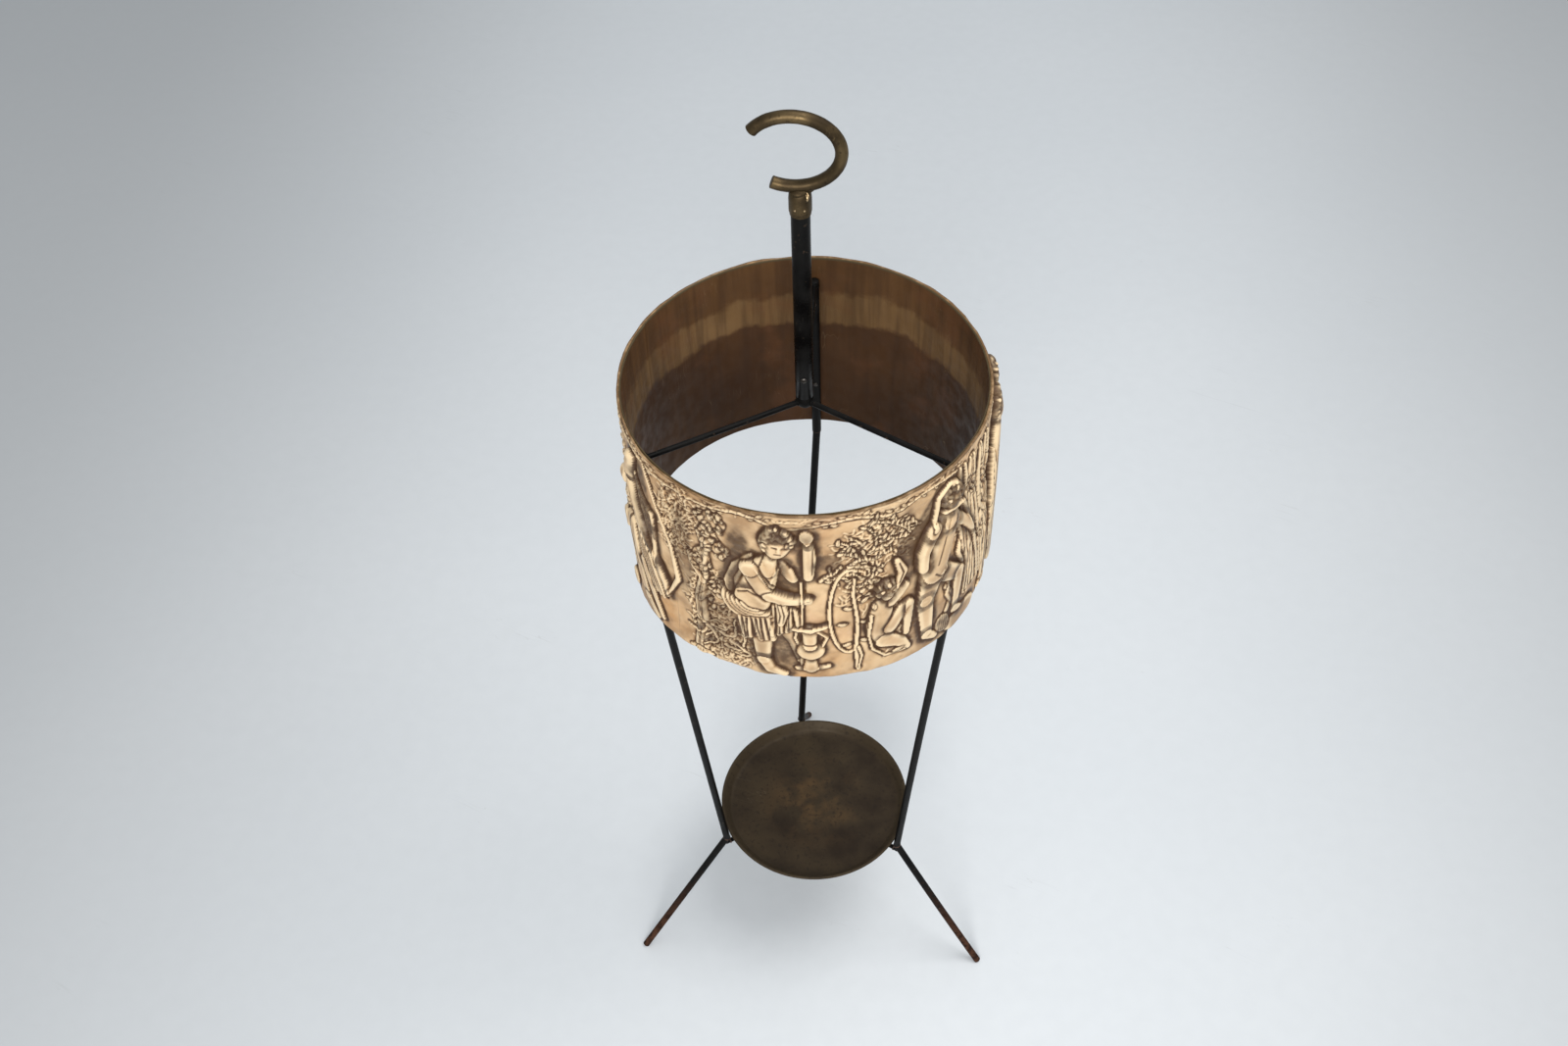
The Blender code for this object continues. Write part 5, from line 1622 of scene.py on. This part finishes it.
def carrying_handle(brass, solder):
    points = handle_points()
    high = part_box("handle_ring")[1]
    reach = max(point.z for point in points) + 0.004
    points = [point + Vector((0, 0, high.z - reach)) for point in points]
    random = np.random.default_rng(3)
    wobble = [0.004 * (1 + 0.012 * random.normal()) for _ in points]
    wobble = [
        (wobble[max(i - 1, 0)] + value + wobble[min(i + 1, 96)]) / 3 for i, value in enumerate(wobble)
    ]
    start_cap = points[0] + (points[0] - points[1]).normalized() * 0.0003
    end_cap = points[-1] + (points[-1] - points[-2]).normalized() * 0.0003
    points = [start_cap] + points + [end_cap]
    wobble = [0.0036] + wobble + [0.0036]
    shape = tube_along(points, wobble, 36, (0, 1, 0))
    finish_mesh("carrying_ring", shape, brass, "stand", ("handle_ring",), 50)

    low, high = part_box("handle_ferrule")
    outer = (high.x - low.x) / 2
    lip = outer - 0.0005
    bore = TUBE_RADIUS + 0.0002
    top = high.z - 0.0004
    outline = (
        (bore, low.z + 0.0002),
        (lip - 0.0003, low.z),
        (lip, low.z + 0.0003),
        (lip, low.z + 0.0017),
        (lip + 0.0001, low.z + 0.0021),
        (outer - 0.0001, low.z + 0.0026),
        (outer, low.z + 0.0032),
        (outer, top - 0.0062),
        (outer - 0.0003, top - 0.0030),
        (outer - 0.0010, top - 0.0012),
        (outer - 0.0020, top - 0.0002),
        (outer - 0.0036, top),
        (0.0, top),
    )
    closing = ((0.0, low.z + 0.0135), (bore, low.z + 0.0135))
    shape = turned(outline + closing + (outline[0],), 72, False, (0, AXIS_Y, 0))
    finish_mesh("ferrule_collar", shape, brass, "stand", ("handle_ferrule",), 40)

    shape = bmesh.new()
    bmesh.ops.create_uvsphere(shape, u_segments=48, v_segments=24, radius=1.0)
    seat = Vector((0, AXIS_Y, top - 0.0010))
    for vert in shape.verts:
        flare = 1 + 0.10 * math.sin(3 * math.atan2(vert.co.y, vert.co.x) + 0.7)
        along_ring = 0.0082 if vert.co.z > 0 else 0.0068
        lift = 0.0032 if vert.co.z > 0 else 0.0042
        x, y, z = vert.co
        vert.co = seat + Vector((x * along_ring * flare, y * 0.0060 * flare, z * lift))
    finish_mesh("solder_joint", shape, brass, "stand", (), 180)

    lines = ((38, -0.0048, -0.0008, 0.0009), (44, -0.0036, 0.0006, 0.0007))
    for index, (turn, low_z, high_z, thick) in enumerate(lines):
        azimuth = math.radians(-90 + turn)
        run = []
        for share in np.linspace(0, 1, 9):
            bow = 0.0003 * math.sin(share * math.pi)
            place = azimuth + 0.10 * math.sin(share * 2.4)
            radius = outer - 0.0002 + bow - 0.0016 * share * share
            height = top + low_z + (high_z - low_z) * share
            run.append((radius * math.cos(place), AXIS_Y + radius * math.sin(place), height))
        fullness = [math.sin(math.pi * min(1, 0.12 + share)) for share in np.linspace(0, 0.9, 9)]
        radii = [thick * (0.35 + 0.65 * full) for full in fullness]
        shape = tube_along(run, radii, 14)
        finish_mesh("solder_run_" + "ab"[index], shape, solder, "stand", (), 180)

    for side, turn in (("left", -25), ("right", 25)):
        low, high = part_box("ferrule_pin_" + side)
        direction = Vector((math.sin(math.radians(turn)), -math.cos(math.radians(turn)), 0))
        centre = Vector((0, AXIS_Y, (low.z + high.z) / 2)) + direction * outer
        shape = domed_head(centre, direction, 0.0007, 0.45, 20, 12)
        finish_mesh(
            "collar_pin_" + side, shape, solder, "stand", ("ferrule_pin_" + side,), 180
        )


def domed_head(centre, direction, radius, flatness, around, up):
    """Flattened ball that stands in for a rivet's or pin's head."""
    shape = bmesh.new()
    bmesh.ops.create_uvsphere(shape, u_segments=around, v_segments=up, radius=radius)
    aim = Vector((0, 0, 1)).rotation_difference(direction).to_matrix().to_4x4()
    squash = Matrix.Diagonal((1, 1, flatness, 1))
    bmesh.ops.transform(shape, verts=shape.verts[:], matrix=Matrix.Translation(centre) @ aim @ squash)
    return shape


def rod_points(start, end, count, sag, seed):
    """Points of a rod that was bent by hand, so it isn't quite true."""
    random = np.random.default_rng(seed)
    start, end = Vector(start), Vector(end)
    side = (end - start).orthogonal().normalized()
    other = (end - start).cross(side).normalized()
    first, second = random.normal(0, sag), random.normal(0, sag)
    points = []
    for step in range(count):
        share = step / (count - 1)
        bow = math.sin(math.pi * share)
        points.append(start.lerp(end, share) + side * first * bow + other * second * bow)
    return points


def bead_round(centre, normal, radius, thick, seed):
    """Lumpy weld bead in a ring."""
    random = np.random.default_rng(seed)
    shape = bmesh.new()
    frame = Vector((0, 0, 1)).rotation_difference(normal).to_matrix().to_4x4()
    loops = []
    count = 30
    for index in range(count):
        turn = math.tau * index / count
        out = Vector((math.cos(turn), math.sin(turn), 0))
        wide = thick * random.uniform(0.75, 1.2)
        place = out * radius
        tilt = Matrix((out, Vector((0, 0, 1)), out.cross(Vector((0, 0, 1))))).transposed().to_4x4()
        matrix = Matrix.Translation(centre) @ frame @ Matrix.Translation(place) @ tilt
        circle = bmesh.ops.create_circle(shape, segments=10, radius=wide, matrix=matrix)["verts"]
        loops.append(edges_of(circle))
    for first, second in zip(loops, loops[1:] + loops[:1]):
        bmesh.ops.bridge_loops(shape, edges=first + second)
    bmesh.ops.recalc_face_normals(shape, faces=shape.faces[:])
    return shape


def frame_rods(materials):
    """Legs, feet, sockets, spokes and pegs with their welds."""
    low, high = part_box("leg_socket_rear")
    socket_radius = (high.x - low.x) / 2
    socket_place = high.y - socket_radius - AXIS_Y
    rod_low, rod_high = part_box("foot_rod_rear")
    rod_radius = (rod_high.x - rod_low.x) / 2
    spoke_low, spoke_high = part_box("spoke_rear")
    spoke_radius = (spoke_high.x - spoke_low.x) / 2
    spoke_level = (spoke_high.z + spoke_low.z) / 2
    peg_low, peg_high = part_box("tray_peg_rear")
    peg_radius = (peg_high.x - peg_low.x) / 2
    peg_level = (peg_high.z + peg_low.z) / 2
    slope = math.atan2(FOOT_RADIUS - KNEE_RADIUS, KNEE_LEVEL)
    foot_level = rod_radius * math.sin(slope) - FOOT_FILED
    for number, (side, azimuth) in enumerate((("rear", 90), ("left", 210), ("right", 330))):
        turn = math.radians(azimuth)
        out = Vector((math.cos(turn), math.sin(turn), 0))

        def at(radius, level):
            return Vector((0, AXIS_Y, level)) + out * radius

        def add(name, shape, finish, node_name="", sharp=180):
            stands_for = (node_name + "_" + side,) if node_name else ()
            finish_mesh(
                name + "_" + side, shape, materials[finish], "stand", stands_for, sharp
            )

        bend = Vector((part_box("foot_rod_" + side)[0].x + rod_radius, 0, 0)) if side == "rear" else Vector()
        knee = at(KNEE_RADIUS, KNEE_LEVEL) + bend
        top = at(socket_place, low.z)
        foot = at(FOOT_RADIUS, foot_level) + bend
        up_leg = (top - knee).normalized()
        down_leg = (foot - knee).normalized()

        points = rod_points(knee - up_leg * 0.0012, top, 26, 0.0004, 100 + number)
        points += [top + Vector((0, 0, 0.0006))]
        radii = [rod_radius] * 26 + [rod_radius * 0.72]
        shape = tube_along(points, radii, 24)
        add("upper_leg", shape, "rod", "leg_rod", 45)

        points = rod_points(knee, foot - down_leg * 0.0006, 18, 0.0003, 200 + number)
        points += [foot]
        radii = [rod_radius] * 18 + [rod_radius - 0.0006]
        shape = tube_along(points, radii, 24)
        everything = shape.verts[:] + shape.edges[:] + shape.faces[:]
        bmesh.ops.bisect_plane(
            shape, geom=everything, plane_co=(0, 0, 0), plane_no=(0, 0, -1), clear_outer=True
        )
        bmesh.ops.holes_fill(shape, edges=[edge for edge in shape.edges if edge.is_boundary])
        bmesh.ops.recalc_face_normals(shape, faces=shape.faces[:])
        add("lower_leg", shape, "foot", "foot_rod", 45)

        middle = (up_leg - down_leg).normalized()
        shape = bead_round(knee, middle, rod_radius * 0.93, 0.00075, 300 + number)
        add("knee_weld", shape, "weld")

        base = at(KNEE_RADIUS - 0.0170, peg_level) + bend
        root = at(KNEE_RADIUS + 0.0012, peg_level) + bend
        points = [base, base + out * 0.0006, base + out * 0.008, root]
        shape = tube_along(points, [peg_radius - 0.0006] + [peg_radius] * 3, 20)
        add("tray_rest", shape, "rod", "tray_peg", 45)
        seat = at(KNEE_RADIUS - rod_radius * 0.95, peg_level) + bend
        shape = bead_round(seat, out, peg_radius, 0.0006, 400 + number)
        add("rest_weld", shape, "weld")

        spot = at(socket_place, 0)
        outline = (
            (0.0, high.z),
            (socket_radius - 0.0011, high.z - 0.0001),
            (socket_radius - 0.0004, high.z - 0.0004),
            (socket_radius, high.z - 0.0012),
            (socket_radius, high.z - 0.040),
            (socket_radius, low.z + 0.040),
            (socket_radius, low.z + 0.0016),
            (socket_radius - 0.0003, low.z + 0.0007),
            (socket_radius - 0.0009, low.z),
            (0.0, low.z),
        )
        shape = turned(outline, 28, False, spot)
        add("socket_bar", shape, "socket", "leg_socket", 40)
        base = at(socket_place, low.z)
        shape = bead_round(base, Vector((0, 0, 1)), rod_radius * 0.98, 0.0005, 500 + number)
        add("socket_weld", shape, "weld")

        inner = at(TUBE_RADIUS - 0.001, spoke_level)
        outer = at(socket_place - socket_radius * 0.6, spoke_level)
        points = rod_points(inner, outer, 14, 0.0002, 600 + number)
        shape = tube_along(points, [spoke_radius] * 14, 20)
        add("spoke_bar", shape, "rod", "spoke", 45)
        shape = bead_round(at(TUBE_RADIUS - 0.0002, spoke_level), out, spoke_radius, 0.0006, 700 + number)
        add("hub_weld", shape, "socket")
        base = at(socket_place - socket_radius * 0.92, spoke_level)
        shape = bead_round(base, out, spoke_radius, 0.0005, 800 + number)
        add("spoke_weld", shape, "socket")

        for level in ("lower", "upper"):
            which = side + "_" + level
            rivet_low, rivet_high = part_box("wall_rivet_" + which)
            centre = at(socket_place - socket_radius + 0.0001, (rivet_low.z + rivet_high.z) / 2)
            shape = domed_head(centre, -out, 0.0018, 0.6, 24, 14)
            steel = materials["steel"]
            stands_for = ("wall_rivet_" + which,)
            finish_mesh("rivet_head_" + which, shape, steel, "stand", stands_for, 180)


def centre_column(materials):
    """Black tube, the boss under it and their rivet."""
    hub_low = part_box("hub")[0]
    ferrule_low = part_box("handle_ferrule")[0]
    radius = TUBE_RADIUS
    joint = TUBE_LOW.z
    outline = (
        (0.0, joint - 0.0002),
        (radius - 0.0003, joint - 0.0002),
        (radius, joint + 0.0002),
        (radius * 1.002, joint + 0.05),
        (radius, joint + 0.10),
        (radius, ferrule_low.z + 0.0130),
        (0.0, ferrule_low.z + 0.0130),
    )
    shape = turned(outline, 56, False, (0, AXIS_Y, 0))
    finish_mesh("column_tube", shape, materials["tube"], "stand", ("centre_tube",), 40)
    outline = (
        (0.0, joint - 0.0003),
        (radius - 0.0002, joint - 0.0003),
        (radius, joint - 0.0006),
        (radius, joint - 0.0052),
        (radius - 0.0004, joint - 0.0068),
        (radius - 0.0012, joint - 0.0084),
        (radius - 0.0022, hub_low.z + 0.0008),
        (radius - 0.0030, hub_low.z),
        (0.0, hub_low.z),
    )
    shape = turned(outline, 56, False, (0, AXIS_Y, 0))
    finish_mesh("column_boss", shape, materials["socket"], "stand", ("hub",), 40)
    low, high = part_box("tube_rivet")
    height = (low.z + high.z) / 2
    for side, sign in (("front", -1), ("back", 1)):
        centre = Vector((0, AXIS_Y + sign * (radius - 0.0002), height))
        shape = domed_head(centre, Vector((0, sign, 0)), 0.0022, 0.5, 28, 16)
        steel = materials["steel"]
        finish_mesh("column_rivet_" + side, shape, steel, "stand", ("tube_rivet",), 180)


# ---------------------------------------------------------------- stage


def stage(groups):
    shape = bmesh.new()
    bmesh.ops.create_grid(shape, x_segments=4, y_segments=4, size=6.0)
    mesh = bpy.data.meshes.new("floor")
    shape.to_mesh(mesh)
    shape.free()
    floor = bpy.data.objects.new("floor", mesh)
    bpy.context.scene.collection.objects.link(floor)
    mesh.materials.append(floor_finish(groups))

    world = bpy.data.worlds.new("studio")
    bpy.context.scene.world = world
    world.use_nodes = True
    sky = world.node_tree.nodes["Background"]
    sky.inputs[0].default_value = (0.93, 0.97, 1.0, 1)
    sky.inputs[1].default_value = 0.50
    soft_light("key_panel", (0.9, 0.2, 2.6), (0, 0, 0.3), 1.8, 34, (1.0, 0.985, 0.96))
    soft_light("front_panel", (-0.1, -2.3, 1.8), (0, 0, 0.45), 1.3, 46, (1.0, 0.975, 0.94))


def soft_light(name, place, target, size, power, colour):
    light = bpy.data.lights.new(name, "AREA")
    light.shape = "DISK"
    light.size = size
    light.energy = power
    light.color = colour
    lamp = bpy.data.objects.new(name, light)
    bpy.context.scene.collection.objects.link(lamp)
    lamp.location = place
    aim = Vector(target) - Vector(place)
    lamp.rotation_euler = aim.to_track_quat("-Z", "Y").to_euler()


def add_camera():
    heading, pitch, roll = (math.radians(turn) for turn in CAMERA_TURNS)
    across = Vector((math.cos(heading), math.sin(heading), 0))
    level = Vector((-math.sin(heading), math.cos(heading), 0))
    forward = level * math.cos(pitch) - Vector((0, 0, math.sin(pitch)))
    up = across.cross(forward)
    side = across * math.cos(roll) + up * math.sin(roll)
    above = up * math.cos(roll) - across * math.sin(roll)
    lens = bpy.data.cameras.new("camera")
    lens.lens = CAMERA_LENS
    lens.sensor_width = 36
    camera = bpy.data.objects.new("camera", lens)
    bpy.context.scene.collection.objects.link(camera)
    frame_of_view = Matrix((side, above, -forward)).transposed().to_4x4()
    camera.matrix_world = Matrix.Translation(CAMERA_PLACE) @ frame_of_view
    bpy.context.scene.camera = camera


def main():
    bpy.context.scene.view_settings.view_transform = "Standard"
    groups = {
        "mottle": mottle_group(),
        "scratch": scratch_group(),
        "grain": grain_group(),
        "rust": rust_group(),
    }
    brown, bronze, gold = (0.036, 0.024, 0.012), (0.085, 0.058, 0.027), (0.20, 0.138, 0.064)
    iron, grey, bright = (0.030, 0.026, 0.024), (0.085, 0.078, 0.072), (0.22, 0.20, 0.18)
    brass = brass_finish(groups, "aged_brass_finish", brown, bronze, gold, 0.60)
    materials = {
        "rod": enamel_finish(groups, "black_rod_finish", 0.03, 0.36, 0.55),
        "foot": enamel_finish(groups, "rusty_foot_finish", 0.085, 0.42, 0.60),
        "socket": enamel_finish(groups, "black_socket_finish", 0.03, 0.45, 0.62),
        "tube": enamel_finish(groups, "black_tube_finish", 0.03, 0.24, 0.42),
        "steel": brass_finish(groups, "rivet_steel_finish", iron, grey, bright, 0.62, 3.0),
        "weld": weld_finish(groups),
    }
    relief_skin(draw_relief(), relief_finish(groups))
    liner_shell(liner_finish(groups))
    drip_dish(tray_finish(groups))
    carrying_handle(brass, solder_finish(groups))
    frame_rods(materials)
    centre_column(materials)
    stage(groups)
    add_camera()
    for tree in list(groups.values()) + [material.node_tree for material in bpy.data.materials]:
        if tree:
            arrange(tree)


main()
